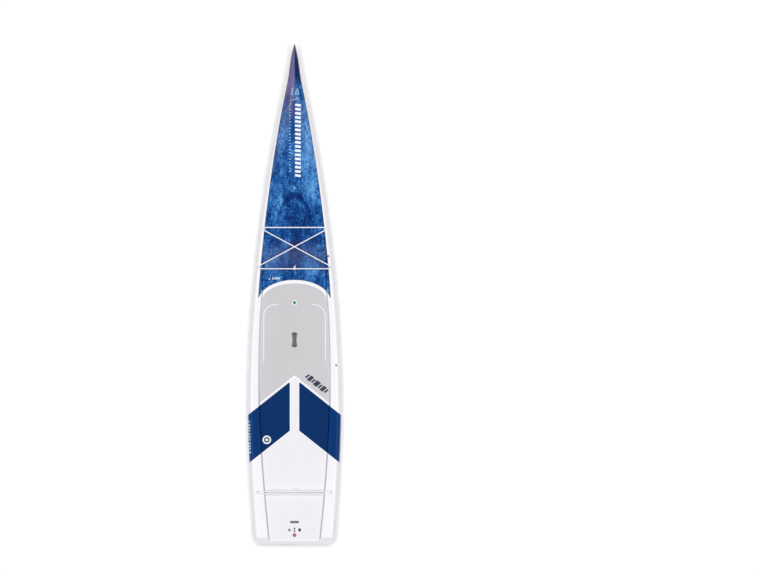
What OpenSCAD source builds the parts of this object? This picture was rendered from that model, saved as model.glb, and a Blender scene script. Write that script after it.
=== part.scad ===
// Touring stand up paddleboard: a hard composite board with a recessed standing deck.
// +Y runs to the nose, +X to starboard, +Z up. The origin is under the middle of the board,
// on the flat of the bottom. Places along the board are distances from the tail end.

/* [Board] */
// Overall length, tail to nose
board_l = 3810; // [3100:10:4600]
// Overall width at the widest point
board_w = 712; // [580:2:860]
// Height of the rails above the base
rail_z = 150; // [125:1:180]
// Distance of the widest point from the tail
wide_at = 1025; // [900:5:1300]
// How far each side draws in from the widest point to the tail
tail_taper = 53; // [20:1:90]
// Fullness of the nose outline
nose_fullness = 1.92; // [1.6:0.02:2.4]
// Half width of the blunt nose tip
nose_blunt = 3; // [2:0.5:10]
// Length of the chamfer on each tail corner
corner_l = 29; // [10:1:60]
// Width of the chamfer on each tail corner
corner_w = 26; // [10:1:60]
// Thickness of the laminated skins
skin_t = 3; // [2:0.5:5]
// Width of the wooden stringer
stringer_t = 4; // [3:0.5:8]

/* [Rocker] */
// Height of the keel at the nose
nose_rocker = 96; // [60:1:140]
// Where the nose rocker begins
rocker_at = 2200; // [1900:10:2600]
// Rise of the rails towards the nose
nose_rise = 14; // [0:1:40]
// Height of the ridge above the rails at the nose
nose_ridge = 20; // [5:1:40]
// Radius of the bow in side view
bow_r = 40; // [20:1:60]
// Slope of the straight tail kick
kick_slope = 0.05; // [0.02:0.005:0.07]
// Where the tail kick begins
kick_at = 905; // [700:5:1100]
// Length over which the tail kick bends up
kick_bend = 400; // [200:10:500]

/* [Bottom] */
// Where the chines leave the rails
chine_at = 505; // [300:5:700]
// Half width between the chines at the tail
chine_half = 155; // [100:1:200]

/* [Standing recess] */
// Depth of the standing recess below the rails
recess_d = 24; // [14:1:32]
// Horizontal run of the recess wall
wall_run = 12; // [6:1:24]
// Width of the rails beside the middle of the recess
rail_w = 72; // [50:1:110]
// Width of the rails beside the tail of the recess
rail_w_tail = 112; // [60:1:140]
// Radius of the rails' shoulders
shoulder_r = 34; // [20:1:60]
// Where the recess stops widening towards the nose
recess_at = 1935; // [1700:5:2100]
// Where the flat floor of the recess ends
floor_end = 2020; // [1950:5:2150]
// Where the recess has faded into the nose deck
fade_end = 2385; // [2200:5:2600]
// Height of the tail bevel's lower edge below the floor
bevel_drop = 24; // [10:1:30]

/* [Deck pads] */
// Thickness of the foam pads
pad_t = 5; // [3:0.5:8]
// Gap between the pads and the recess wall
pad_gap = 4; // [2:0.5:10]
// Where the front pad's arch has its crown
arch_at = 1985; // [1900:5:2000]
// Rise of the front pad's arch
arch_rise = 126; // [60:2:200]
// Apex of the front pad's lower edge
pad_split = 1286; // [1150:2:1380]
// Angle of the bands across the board
band_angle = 38.4; // [25:0.2:50]
// Length of the dark bands along the board
band_l = 372; // [200:2:480]
// Width of the light groove above the bands, along the board
groove_w = 22; // [8:1:40]
// Half width of the gap between the bands
band_in = 36; // [28:1:60]
// Half width of the stem between the bands
stem_half = 23; // [10:1:26]
// Where the tail pad ends
pad_end = 38; // [34:1:60]

/* [Carry handle] */
// Centre of the handle
handle_at = 1556; // [1450:2:1650]
// Length of the finger slot
handle_l = 111; // [90:1:140]
// Width of the finger slot at its ends
handle_w = 38; // [30:1:50]
// Width of the finger slot at its waist
handle_waist = 29; // [22:1:34]
// Depth of the handle cup below the deck floor
handle_d = 58; // [40:1:70]
// Wall of the handle cup
cup_wall = 4; // [3:0.5:6]
// Thickness of the rubber lip in the slot
lip_t = 2.5; // [1.5:0.5:4]
// How far the cup reaches under the deck beside the slot
cup_reach = 9; // [5:1:14]

/* [Air vent] */
// Centre of the vent
vent_at = 1839; // [1780:2:1880]
// Width of the vent's flange around its body
vent_rim = 7; // [4:0.5:10]
// Wall of the vent's body around the plug's head
vent_wall = 1.5; // [1:0.5:3]
// Depth of the vent's body below the deck floor
vent_body_h = 20; // [14:1:30]
// Diameter of the vent plug's head
vent_head_d = 22; // [18:0.5:26]
// Diameter of the vent plug's thread
vent_thread_d = 12; // [10:0.5:14]
// Length of the vent plug's thread
vent_thread_l = 11; // [8:0.5:14]
// Radial clearance of the vent plug's thread
vent_clear = 0.05; // [0.02:0.01:0.1]

/* [Leash plug] */
// Centre of the leash plug
leash_at = 68; // [55:1:90]
// Outer diameter of the leash cup
leash_d = 27; // [24:0.5:34]
// Wall of the leash cup
leash_wall = 3; // [2:0.5:4]
// Depth of the leash cup
leash_h = 26; // [20:1:32]
// Diameter of the leash pin
leash_pin_d = 5; // [4:0.5:6]

/* [Fin box] */
// Centre of the fin slot
fin_at = 207.5; // [190:0.5:260]
// Length of the fin slot
fin_slot_l = 255; // [200:1:260]
// Width of the fin slot
fin_slot_w = 10; // [9:0.1:12]
// Depth of the fin slot
fin_slot_d = 26; // [22:1:30]
// Diameter of the round notch that lets the nut plate in
fin_notch_d = 17; // [16.5:0.5:20]
// Wall of the fin box
fin_wall = 8; // [5:0.5:12]
// Length of the nut plate
nut_l = 16; // [12:0.5:16]
// Thickness of the nut plate
nut_t = 3; // [2.5:0.5:4]
// Clearance around the nut plate in its channel
nut_clear = 0.3; // [0.2:0.05:0.5]
// Diameter of the nut plate's threaded hole
nut_thread_d = 4; // [3:1:5]

/* [Tie-downs] */
// Forward tie-downs of the front bungee
tie_fore_at = 2402; // [2350:2:2480]
// Rear tie-downs of the front bungee
tie_mid_at = 2108; // [2060:2:2160]
// Tie-downs of the tail bungee
tie_tail_at = 392; // [340:2:480]
// Distance of the forward tie-downs from the outline
tie_fore_in = 33; // [28:1:50]
// Distance of the middle tie-downs from the outline
tie_mid_in = 29; // [24:1:50]
// Distance of the tail tie-downs from the outline
tie_tail_in = 51; // [40:1:60]
// Diameter of the tie-down inserts
tie_insert_d = 20; // [16:1:26]
// Diameter of the posts' necks
tie_neck_d = 12; // [10:0.5:14]
// Diameter of the tie-down screws
tie_screw_d = 5; // [4:0.5:6]
// Diameter of the bungee cord
bungee_d = 8; // [5:0.5:10]

/* [Accessory inserts] */
// Front paddle holder insert
holder_fore_at = 2194; // [2160:2:2260]
// Rear paddle holder insert
holder_aft_at = 1362; // [1300:2:1420]
// Distance of the paddle holder inserts from the outline
holder_in = 33; // [26:1:50]
// Diameter of the paddle holder inserts
holder_d = 14; // [11:0.5:18]
// Distance of the nose insert ahead of the forward tie-downs
nose_insert_ahead = 311; // [200:1:400]
// Diameter of the nose insert
nose_insert_d = 14; // [11:0.5:18]
// Diameter of the inserts' threaded holes
insert_thread_d = 6; // [5:1:8]

/* [Hidden] */
$fn = 48;
tail_y = -board_l / 2;
nose_y = board_l / 2;
half_w = board_w / 2;
floor_z = rail_z - recess_d;
pad_z = floor_z + pad_t;
band_k = tan(band_angle);
band_top = tail_y + pad_split - groove_w;
band_low = band_top - band_l;
tail_pad_top = band_low - (band_in - stem_half);
line_w = 5;              // the moulded lines of the front pad
line_deep = 1.5;
line_r = 88;
line_in = 109;
line_side = 11;          // from the side of the pad, at the lines' top
line_top = vent_at - 14;
line_end = line_top - 470;
bond = 0.2;              // glue line around every bonded fitting
through = 200;           // more than any thickness of the board
tail_curve = 1.64;
rocker_curve = 2.2;
apex_share = 0.42;       // height of the rail's widest line, from keel to rail top
nose_solid = 25;         // length of the solid laminate at the nose
bevel_slope = 0.93;
rail_taper = 1705;       // where the rails stop widening towards the tail
tail_edge = 1;           // run of the nearly upright transom
flat_share = 0.70;       // flat of the bottom amidships, as a share of the width
flat_share_nose = 0.12;
flat_share_chine = 0.94;
flat_nose_end = 400;     // how far from the nose the flat is at its narrowest
flat_wide_from = 200;    // how far ahead of the widest point the flat starts to widen
chine_harden = 120;      // length over which the lower rail turns into a flat chine
rail_power = 2.6;        // roundness of the rails above and below their widest line
lower_rail_power = 2.2;
bow_power = 1.7;
ridge_at = 2500;
roof_at = 3100;
handle_corner = 12;
cup_end = 3;             // how far the cup reaches under the deck past the slot's ends
cup_l = handle_l + 2 * (cup_wall + cup_end);
cup_w = handle_w + 2 * (cup_wall + cup_reach);
roof_t = 6;              // thickness of the cup's roof around the slot
vent_recess_d = vent_head_d + 1;
vent_body_d = vent_recess_d + 2 * vent_wall;
vent_flange_d = vent_body_d + 2 * vent_rim;
vent_slot_w = 2.5;       // coin slot in the plug's head
vent_slot_deep = 1.2;
vent_seat_z = floor_z - 1;
vent_ring_d = 2;
vent_ring_gap = 0.1;
vent_head_z = vent_seat_z + vent_ring_d;
vent_head_h = 4;
vent_flange_h = 3;
vent_hole_d = 4;
membrane_d = 9;
membrane_t = 0.6;
leash_pin_drop = 6;
channel_h = nut_t + 2 * nut_clear;
channel_w = fin_notch_d - 1;
channel_deep = 13;       // from the slot's mouth to the channel's mouth side
nut_w = channel_w - 2 * nut_clear;
fin_box_l = fin_slot_l + 2 * fin_wall + 6;
fin_box_w = channel_w + 2 * fin_wall;
fin_box_h = fin_slot_d + 5;
kick_angle = atan(kick_slope);
wrap_r = (tie_neck_d + bungee_d) / 2 + 0.2;
tie_insert_h = 24;
tie_proud = 2;
flange_h = 2;
neck_h = bungee_d + 1;
tie_cap_h = 2.5;
tie_flange_d = tie_insert_d - 2;
tie_head_d = 9;
tie_head_h = 2.6;
cord_gap = 0.3;
cord_lift = tie_proud + flange_h + bungee_d / 2 + cord_gap;
holder_h = 20;
holder_hole = 15;
proud = 0.6;             // how far a flush insert stands above the skin around it
cord_sides = 10;
knot_x = 13;             // the tail bungee's knot lies beside the middle
knot_gap = 6;            // from the knot's middle to the cord's ends

TIES = [
    ["fore_left", -1, tie_fore_at, tie_fore_in],
    ["fore_right", 1, tie_fore_at, tie_fore_in],
    ["mid_left", -1, tie_mid_at, tie_mid_in],
    ["mid_right", 1, tie_mid_at, tie_mid_in],
    ["tail_left", -1, tie_tail_at, tie_tail_in],
    ["tail_right", 1, tie_tail_at, tie_tail_in],
];

// ---------- shape of the board ----------
function clamp01(v) = max(0, min(1, v));
function smooth01(v) = let (u = clamp01(v)) u * u * (3 - 2 * u);
function at(d) = tail_y + d;
function from_tail(y) = y - tail_y;

// Outline without the tail corners
function outline(y) =
    let (
        d = from_tail(y),
        u = (nose_y - y) / (board_l - wide_at),
        v = clamp01((wide_at - d) / wide_at)
    )
    d > wide_at
        ? half_w * (1 - pow(1 - u, nose_fullness)) + nose_blunt * (1 - u)
        : half_w - tail_taper * pow(v, tail_curve);
function half_width(y) = outline(y) - corner_w * clamp01(1 - from_tail(y) / corner_l);

function kick(q) =
    q <= 0 ? 0
        : q < kick_bend ? kick_slope * q * q / (2 * kick_bend)
        : kick_slope * (q - kick_bend / 2);
function keel(y) =
    kick(kick_at - from_tail(y))
    + nose_rocker * pow(clamp01((from_tail(y) - rocker_at) / (board_l - rocker_at)), rocker_curve);
function rail(y) =
    rail_z + nose_rise * pow(clamp01((from_tail(y) - floor_end) / (board_l - floor_end)), 2);
function apex(y) = keel(y) + apex_share * (rail(y) - keel(y));
function shoulder(y) = outline(y) - min(shoulder_r, 0.35 * outline(y));

// Standing recess: half width, how much of it is left, and the height of the centre line
function rail_width(d) = rail_w + (rail_w_tail - rail_w) * clamp01(1 - d / rail_taper);
function recess_half(y) = let (d = min(from_tail(y), recess_at)) outline(at(d)) - rail_width(d);
function recess_left(y) = 1 - smooth01((from_tail(y) - floor_end) / (fade_end - floor_end));
function ridge(y) = nose_ridge * clamp01((from_tail(y) - ridge_at) / (board_l - ridge_at));
function centre_z(y) = floor_z + (rail(y) + ridge(y) - floor_z) * (1 - recess_left(y));
function roof_power(y) = 2 - 0.9 * clamp01((from_tail(y) - roof_at) / (board_l - roof_at));
function wall_out(y) = min(recess_half(y) + wall_run / 2, shoulder(y) - min(1, 0.1 * shoulder(y)));
function wall_in(y) = max(wall_out(y) - wall_run, 0.8 * wall_out(y));

// Height of the deck at x, up to the shoulder, with the skin's thickness taken off
function deck_top(y, x, t = 0) =
    let (r = recess_left(y), run = wall_out(y) - wall_in(y))
    rail(y) - t + (centre_z(y) - rail(y))
        * ((1 - r) * (1 - pow(min(1, x / shoulder(y)), roof_power(y)))
            + r * (1 - smooth01((x - wall_in(y) - t) / run)));
// Height of the outer skin anywhere on the deck
function deck_z(y, x) =
    let (s = shoulder(y), a = apex(y), k = (x - s) / (half_width(y) - s))
    x <= s ? deck_top(y, x) : a + (rail(y) - a) * pow(1 - pow(k, rail_power), 1 / rail_power);

// Bottom: half width of the flat and roundness of the lower rail
function flat_before_chine(y) =
    let (d = from_tail(y))
    outline(y) * (flat_share
        - (flat_share - flat_share_nose) * smooth01((d - floor_end) / (board_l - flat_nose_end - floor_end))
        + (flat_share_chine - flat_share)
            * smooth01((wide_at + flat_wide_from - d) / (wide_at + flat_wide_from - chine_at)));
function flat_half(y) =
    let (d = from_tail(y))
    d > chine_at ? flat_before_chine(y)
        : chine_half + (flat_before_chine(at(chine_at)) - chine_half) * d / chine_at;
function lower_power(y) =
    let (d = from_tail(y))
    lower_rail_power
    - (lower_rail_power - bow_power) * smooth01((d - floor_end) / (board_l - floor_end))
    - (lower_rail_power - 1) * smooth01((chine_at - d) / chine_harden);

// Ends of a surface: dt and dn are the distances from its own tail and nose ends
function closing(dt, dn) =
    min(clamp01(dt / tail_edge), dn >= bow_r ? 1 : sqrt(max(0, 1 - pow(1 - dn / bow_r, 2))));

// Half a section, from the rail's widest line to the side of the stringer. The strip over
// the stringer is flat
function deck_half(y, t, dt, dn) =
    let (
        w = half_width(y) - t, s = min(shoulder(y), w - 1), a = apex(y), e = closing(dt, dn),
        wo = min(wall_out(y) + t, s), wi = min(wall_in(y) + t, wo),
        xc = min(stringer_t / 2, 0.8 * wi),
        cap = floor_z - bevel_drop - t + bevel_slope * dt
    )
    [
        for (b = [0 : 22.5 : 89])
            let (z = a + (rail(y) - t - a) * pow(sin(b), 2 / rail_power))
            [s + (w - s) * pow(cos(b), 2 / rail_power), y, a + (min(z, max(cap, a)) - a) * e],
        for (x = [s, wo, wi, xc + 0.7 * (wi - xc), xc + 0.35 * (wi - xc), xc])
            [x, y, a + (min(deck_top(y, x, t), cap) - a) * e],
    ];
function bottom_half(y, t, dt, dn) =
    let (
        w = half_width(y) - t, a = apex(y), e = closing(dt, dn),
        f = min(max(flat_half(y), 0.65 * stringer_t), w - 1), xc = min(stringer_t / 2, 0.8 * f),
        k = keel(y) + t, p = lower_power(y)
    )
    [
        for (b = [0 : 18 : 89])
            [f + (w - f) * pow(cos(b), 2 / p), y, a + (k - a) * pow(sin(b), 2 / p) * e],
        for (x = [f, xc + 0.6 * (f - xc), xc + 0.3 * (f - xc), xc])
            [x, y, a + (k - a) * e],
    ];
function mirrored(row) = [for (p = row) [-p[0], p[1], p[2]]];
function reversed(row) = [for (i = [len(row) - 1 : -1 : 0]) row[i]];
function whole(row) = concat(row, reversed(mirrored(row)));

// Stations along the board, closer together at its ends
STATIONS = concat(
    [0, tail_edge, 14, corner_l, corner_l + 9, corner_l + 21],
    [for (i = [0 : 18]) 70 + (floor_end - 70) * i / 18],
    [for (i = [1 : 16]) floor_end + (board_l - bow_r - floor_end) * i / 16],
    [for (q = [0.6, 0.33, 0.15, 0.05, 0]) board_l - bow_r * q]
);
function outer_y(d) = at(d);
function inner_y(d) = tail_y + skin_t + d * (board_l - skin_t - nose_solid) / board_l;
function end_gaps(y, t) =
    t == 0 ? [y - tail_y, nose_y - y] : [y - tail_y - skin_t, nose_y - nose_solid - y];

function deck_grid(t) =
    [for (d = STATIONS) let (y = t == 0 ? outer_y(d) : inner_y(d), g = end_gaps(y, t))
        whole(deck_half(y, t, g[0], g[1]))];
function bottom_grid(t) =
    [for (d = STATIONS) let (y = t == 0 ? outer_y(d) : inner_y(d), g = end_gaps(y, t))
        whole(bottom_half(y, t, g[0], g[1]))];
function core_rings() =
    [for (i = [1 : len(STATIONS) - 3])
        let (y = inner_y(STATIONS[i]), g = end_gaps(y, skin_t),
            deck = deck_half(y, skin_t, g[0], g[1]),
            low = reversed(bottom_half(y, skin_t, g[0], g[1])))
        concat(deck, [for (j = [0 : len(low) - 2]) low[j]])];
deck_points = len(deck_half(0, skin_t, 1, 1));

// ---------- helpers that build solids ----------
function joined(rows) = [for (r = rows) for (p = r) p];

// Two triangles over the corners a and b of one row and c and d of the next
function patch(a, b, c, d, turned) = turned ? [[a, b, c], [b, d, c]] : [[a, b, d], [a, d, c]];
function flipped(faces) = [for (f = faces) reversed(f)];

// A sheet between two grids of the same size, closed around its four edges. Its triangles lie
// the same way as those of the surfaces that touch it: out is 1 on the deck and -1 on the bottom
module sheet(upper, lower, out) {
    m = len(upper[0]);
    n = len(upper);
    c = n * m;
    skin = [for (i = [0 : n - 2], j = [0 : m - 2])
        for (f = patch(i * m + j, i * m + j + 1, (i + 1) * m + j, (i + 1) * m + j + 1, j >= m / 2)) f];
    edge = [for (i = [0 : n - 2])
        for (f = patch(i * m, (i + 1) * m, c + i * m, c + (i + 1) * m, out < 0)) f];
    faces = concat(
        skin,
        [for (f = flipped(skin)) [for (v = f) v + c]],
        edge,
        [for (f = flipped(edge)) [for (v = f) v + m - 1]],
        [for (j = [0 : m - 2])
            for (f = [[j, c + j + 1, j + 1], [j, c + j, c + j + 1],
                      [(n - 1) * m + j, (n - 1) * m + j + 1, c + (n - 1) * m + j + 1],
                      [(n - 1) * m + j, c + (n - 1) * m + j + 1, c + (n - 1) * m + j]]) f]
    );
    polyhedron(joined(concat(upper, lower)), faces);
}

// A solid through closed rings, with a flat cap at each end. From point h of the rings on,
// the triangles lie the other way
module loft(rings, h) {
    m = len(rings[0]);
    n = len(rings);
    faces = concat(
        [for (i = [0 : n - 2], j = [0 : m - 1])
            let (k = (j + 1) % m)
            for (f = patch(i * m + j, i * m + k, (i + 1) * m + j, (i + 1) * m + k, j >= h)) f],
        [[for (j = [m - 1 : -1 : 0]) j]],
        [[for (j = [0 : m - 1]) (n - 1) * m + j]]
    );
    polyhedron(joined(rings), faces);
}

// A rectangle with round corners, of width w across the board and length l along it
module rounded(w, l, r) {
    square([w - 2 * r, l], center = true);
    square([w, l - 2 * r], center = true);
    for (sx = [-1, 1], sy = [-1, 1])
        translate([sx * (w / 2 - r), sy * (l / 2 - r)]) circle(r);
}

// A straight slot with fully round ends
module slot(w, l) {
    square([w, l - w], center = true);
    for (s = [-1, 1])
        translate([0, s * (l - w) / 2]) circle(d = w);
}

// The finger slot, grown by g
module hourglass(g) {
    sagitta = (handle_w - handle_waist) / 2;
    chord = handle_l - 2 * handle_corner;
    waist_r = chord * chord / (8 * sagitta) + sagitta / 2;
    difference() {
        rounded(handle_w + 2 * g, handle_l + 2 * g, handle_corner + g);
        for (s = [-1, 1])
            translate([s * (handle_waist / 2 + waist_r), 0]) circle(waist_r - g, $fn = 96);
    }
}

module slab(z, h) {
    translate([0, 0, z]) linear_extrude(h) children();
}

// ---------- places of the fittings ----------
function tie_x(t) = t[1] * (outline(at(t[2])) - t[3]);
function tie_z(t) = deck_z(at(t[2]), abs(tie_x(t)));
module at_tie(t) {
    translate([tie_x(t), at(t[2]), tie_z(t)]) children();
}
function holder_pos(d) = let (x = outline(at(d)) - holder_in) [x, at(d), deck_z(at(d), x)];
function nose_insert_pos() = let (y = at(tie_fore_at + nose_insert_ahead)) [0, y, centre_z(y)];
module at_fin() {
    translate([0, at(fin_at), keel(at(fin_at))]) rotate([-kick_angle, 0, 0]) children();
}

// Pockets in the skin and the core for everything bonded into the deck, with the glue line
module deck_pockets() {
    translate([0, at(handle_at), 0]) slab(floor_z - handle_d - bond, through)
        rounded(cup_w + 2 * bond, cup_l + 2 * bond, handle_corner + cup_wall);
    translate([0, at(vent_at), floor_z - vent_body_h - bond])
        cylinder(h = through, d = vent_body_d + 2 * bond);
    translate([0, at(leash_at), pad_z - leash_h - bond])
        cylinder(h = through, d = leash_d + 2 * bond);
    for (t = TIES)
        at_tie(t) translate([0, 0, tie_proud - tie_insert_h - bond])
            cylinder(h = through, d = tie_insert_d + 2 * bond);
    for (p = [holder_pos(holder_fore_at), holder_pos(holder_aft_at)])
        translate(p) translate([0, 0, proud - holder_h - bond])
            cylinder(h = through, d = holder_d + 2 * bond);
    translate(nose_insert_pos()) translate([0, 0, proud - holder_h - bond])
        cylinder(h = through, d = nose_insert_d + 2 * bond);
}

module fin_pocket() {
    at_fin() slab(-through / 4, through / 4 + fin_box_h + bond)
        slot(fin_box_w + 2 * bond, fin_box_l + 2 * bond);
}

// ---------- board ----------
module deck_shell() {
    color("whitesmoke") difference() {
        sheet(deck_grid(0), deck_grid(skin_t), 1);
        deck_pockets();
    }
}

module bottom_shell() {
    color("white") difference() {
        sheet(bottom_grid(skin_t), bottom_grid(0), -1);
        fin_pocket();
    }
}

module foam_core(side) {
    color("ivory") difference() {
        mirror([side < 0 ? 1 : 0, 0, 0]) loft(core_rings(), deck_points);
        deck_pockets();
        fin_pocket();
    }
}

// Plywood down the middle of the core, from skin to skin
module stringer() {
    rings = core_rings();
    top = [for (r = rings) [r[deck_points - 1][1], r[deck_points - 1][2]]];
    low = [for (r = rings) [r[deck_points][1], r[deck_points][2]]];
    color("burlywood") difference() {
        rotate([90, 0, 90]) linear_extrude(stringer_t, center = true)
            polygon(concat(top, reversed(low)));
        deck_pockets();
        fin_pocket();
    }
}

// ---------- pads ----------
function pad_side(y) = wall_in(y) - pad_gap;
function band_line(y0, x) = y0 - band_k * x;
// Where a band's edge, which crosses the middle at y0, meets the side of the pads
function band_meets(y0) =
    let (x1 = pad_side(band_line(y0, pad_side(y0))), x2 = pad_side(band_line(y0, x1)))
    [x2, band_line(y0, x2)];
function pad_edge(y1, y2, n) =
    [for (i = [1 : n - 1]) let (y = y1 + (y2 - y1) * i / n) [pad_side(y), y]];
module both_sides(half) {
    polygon(concat(half, [for (p = reversed(half)) if (p[0] > 0) [-p[0], p[1]]]));
}

module pad(colour) {
    color(colour) slab(floor_z, pad_t) children();
}

// One of the two moulded lines that frame the standing area
module pad_line() {
    y0 = at(line_top) - line_r;
    line_x = pad_side(at(line_top)) - line_side;
    translate([line_in, at(line_top) - line_w / 2]) square([line_x - line_r - line_in, line_w]);
    translate([line_x - line_w / 2, at(line_end)]) square([line_w, y0 - at(line_end)]);
    translate([line_x - line_r, y0]) intersection() {
        difference() {
            circle(line_r + line_w / 2, $fn = 72);
            circle(line_r - line_w / 2, $fn = 72);
        }
        square(2 * line_r);
    }
}

module pad_front() {
    foot = at(arch_at) - arch_rise;
    side = band_meets(at(pad_split));
    half = concat(
        [for (a = [90 : -6 : 0]) [pad_side(foot) * cos(a), foot + arch_rise * sin(a)]],
        pad_edge(foot, side[1], 8),
        [side, [0, at(pad_split)]]
    );
    difference() {
        pad("gainsboro") difference() {
            both_sides(half);
            translate([0, at(handle_at)]) hourglass(lip_t + bond);
            translate([0, at(vent_at)]) circle(d = vent_flange_d + pad_gap);
        }
        for (s = [0, 1])
            mirror([s, 0, 0]) slab(pad_z - line_deep, pad_t) pad_line();
    }
}

module pad_band(side) {
    top = band_meets(band_top);
    low = band_meets(band_low);
    pad("midnightblue") mirror([side < 0 ? 1 : 0, 0])
        polygon(concat(
            [[band_in, band_line(band_top, band_in)], top],
            pad_edge(top[1], low[1], 5),
            [low, [band_in, band_line(band_low, band_in)]]
        ));
}

module pad_tail() {
    side = band_meets(tail_pad_top);
    end = at(pad_end);
    pad("ghostwhite") difference() {
        both_sides(concat(
            [[0, band_top], [stem_half, band_line(band_top, stem_half)]],
            [[stem_half, band_line(tail_pad_top, stem_half)], side],
            pad_edge(side[1], end, 8),
            [[pad_side(end), end]]
        ));
        translate([0, at(leash_at)]) circle(d = leash_d + 2 * bond);
    }
}

// ---------- carry handle ----------
module handle_cup() {
    color("dimgray") translate([0, at(handle_at), 0]) difference() {
        slab(floor_z - handle_d, handle_d) rounded(cup_w, cup_l, handle_corner + cup_wall);
        slab(floor_z - handle_d + cup_wall, handle_d - cup_wall - roof_t)
            rounded(cup_w - 2 * cup_wall, cup_l - 2 * cup_wall, handle_corner);
        slab(floor_z - roof_t - 1, roof_t + 2) hourglass(lip_t);
    }
}

module handle_lip() {
    color("darkslategray") translate([0, at(handle_at), 0])
        slab(floor_z - roof_t, roof_t + pad_t) difference() {
            hourglass(lip_t);
            hourglass(0);
        }
}

// ---------- air vent ----------
module vent_housing() {
    color("honeydew") translate([0, at(vent_at), 0]) difference() {
        union() {
            translate([0, 0, floor_z - vent_body_h]) cylinder(h = vent_body_h, d = vent_body_d);
            translate([0, 0, floor_z]) cylinder(h = vent_flange_h, d = vent_flange_d);
        }
        translate([0, 0, vent_seat_z]) cylinder(h = vent_flange_h + 2, d = vent_recess_d);
        translate([0, 0, floor_z - vent_body_h - 1])
            cylinder(h = vent_body_h + 2, r = vent_thread_d / 2 + vent_clear);
    }
}

module vent_ring() {
    section = vent_ring_d - 2 * vent_ring_gap;
    color("black") translate([0, at(vent_at), vent_seat_z + vent_ring_d / 2])
        rotate_extrude($fn = 48)
            translate([(vent_thread_d + vent_head_d) / 4, 0]) circle(d = section, $fn = 24);
}

module vent_plug() {
    color("seagreen") translate([0, at(vent_at), vent_head_z]) difference() {
        union() {
            cylinder(h = vent_head_h, d = vent_head_d);
            translate([0, 0, -vent_thread_l]) cylinder(h = vent_thread_l + 1, d = vent_thread_d);
        }
        translate([0, 0, -vent_thread_l - 1])
            cylinder(h = vent_thread_l + vent_head_h + 2, d = vent_hole_d);
        translate([0, 0, vent_head_h / 2]) cylinder(h = vent_head_h, d = membrane_d);
        translate([-vent_head_d, -vent_slot_w / 2, vent_head_h - vent_slot_deep])
            cube([2 * vent_head_d, vent_slot_w, 2 * vent_slot_deep]);
    }
}

module vent_membrane() {
    color("darkgreen") translate([0, at(vent_at), vent_head_z + vent_head_h / 2])
        cylinder(h = membrane_t, d = membrane_d);
}

// ---------- leash plug ----------
module leash_pin_shape() {
    span = leash_d - leash_wall;
    translate([-span / 2, at(leash_at), pad_z - leash_pin_drop])
        rotate([0, 90, 0]) cylinder(h = span, d = leash_pin_d);
}

module leash_cup() {
    color("crimson") difference() {
        translate([0, at(leash_at), pad_z - leash_h]) difference() {
            cylinder(h = leash_h, d = leash_d);
            translate([0, 0, leash_wall]) cylinder(h = leash_h, d = leash_d - 2 * leash_wall);
        }
        leash_pin_shape();
    }
}

module leash_pin() {
    color("silver") leash_pin_shape();
}

// ---------- fin box ----------
module fin_box() {
    color("black") at_fin() difference() {
        slab(0, fin_box_h) slot(fin_box_w, fin_box_l);
        slab(-1, fin_slot_d + 1) slot(fin_slot_w, fin_slot_l);
        translate([-channel_w / 2, -fin_slot_l / 2, channel_deep])
            cube([channel_w, fin_slot_l, channel_h]);
        translate([0, 0, -1]) cylinder(h = channel_deep + channel_h + 1, d = fin_notch_d);
    }
}

module fin_nut_plate() {
    color("silver") at_fin() difference() {
        translate([-nut_w / 2, -nut_l / 2, channel_deep + nut_clear]) cube([nut_w, nut_l, nut_t]);
        cylinder(h = fin_box_h, d = nut_thread_d);
    }
}

// ---------- inserts ----------
module threaded_insert(d) {
    difference() {
        translate([0, 0, proud - holder_h]) cylinder(h = holder_h, d = d);
        translate([0, 0, proud - holder_hole]) cylinder(h = holder_hole + 1, d = insert_thread_d);
    }
}

module paddle_insert(d) {
    color("black") translate(holder_pos(d)) threaded_insert(holder_d);
}

module nose_insert() {
    color("white") translate(nose_insert_pos()) threaded_insert(nose_insert_d);
}

// ---------- tie-downs ----------
module tie_inserts() {
    color("lightgray") for (t = TIES)
        at_tie(t) translate([0, 0, tie_proud - tie_insert_h]) difference() {
            cylinder(h = tie_insert_h, d = tie_insert_d);
            translate([0, 0, tie_insert_h / 3]) cylinder(h = tie_insert_h, d = tie_screw_d);
        }
}

module tie_post(t) {
    color("white") at_tie(t) translate([0, 0, tie_proud]) difference() {
        union() {
            cylinder(h = flange_h, d = tie_flange_d);
            cylinder(h = flange_h + neck_h + tie_cap_h, d = tie_neck_d);
            translate([0, 0, flange_h + neck_h]) cylinder(h = tie_cap_h, d = tie_flange_d);
        }
        translate([0, 0, -1]) cylinder(h = through, d = tie_screw_d + 2 * bond);
    }
}

module tie_screws() {
    post_h = flange_h + neck_h + tie_cap_h;
    color("silver") for (t = TIES)
        at_tie(t) translate([0, 0, tie_proud]) {
            translate([0, 0, post_h]) cylinder(h = tie_head_h, d = tie_head_d);
            translate([0, 0, -tie_insert_h / 2])
                cylinder(h = tie_insert_h / 2 + post_h + 1, d = tie_screw_d);
        }
}

// ---------- bungees ----------
function tie_pos(t) = [tie_x(t), at(t[2]), tie_z(t) + cord_lift];
function around(c, a1, a2, n) =
    [for (i = [0 : n])
        let (a = a1 + (a2 - a1) * i / n)
        [c[0] + wrap_r * cos(a), c[1] + wrap_r * sin(a), c[2]]];
function between(p, q, n, lift) =
    [for (i = [1 : n - 1])
        let (k = i / n)
        p + (q - p) * k + [0, 0, lift * (1 - abs(2 * k - 1))]];

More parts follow.
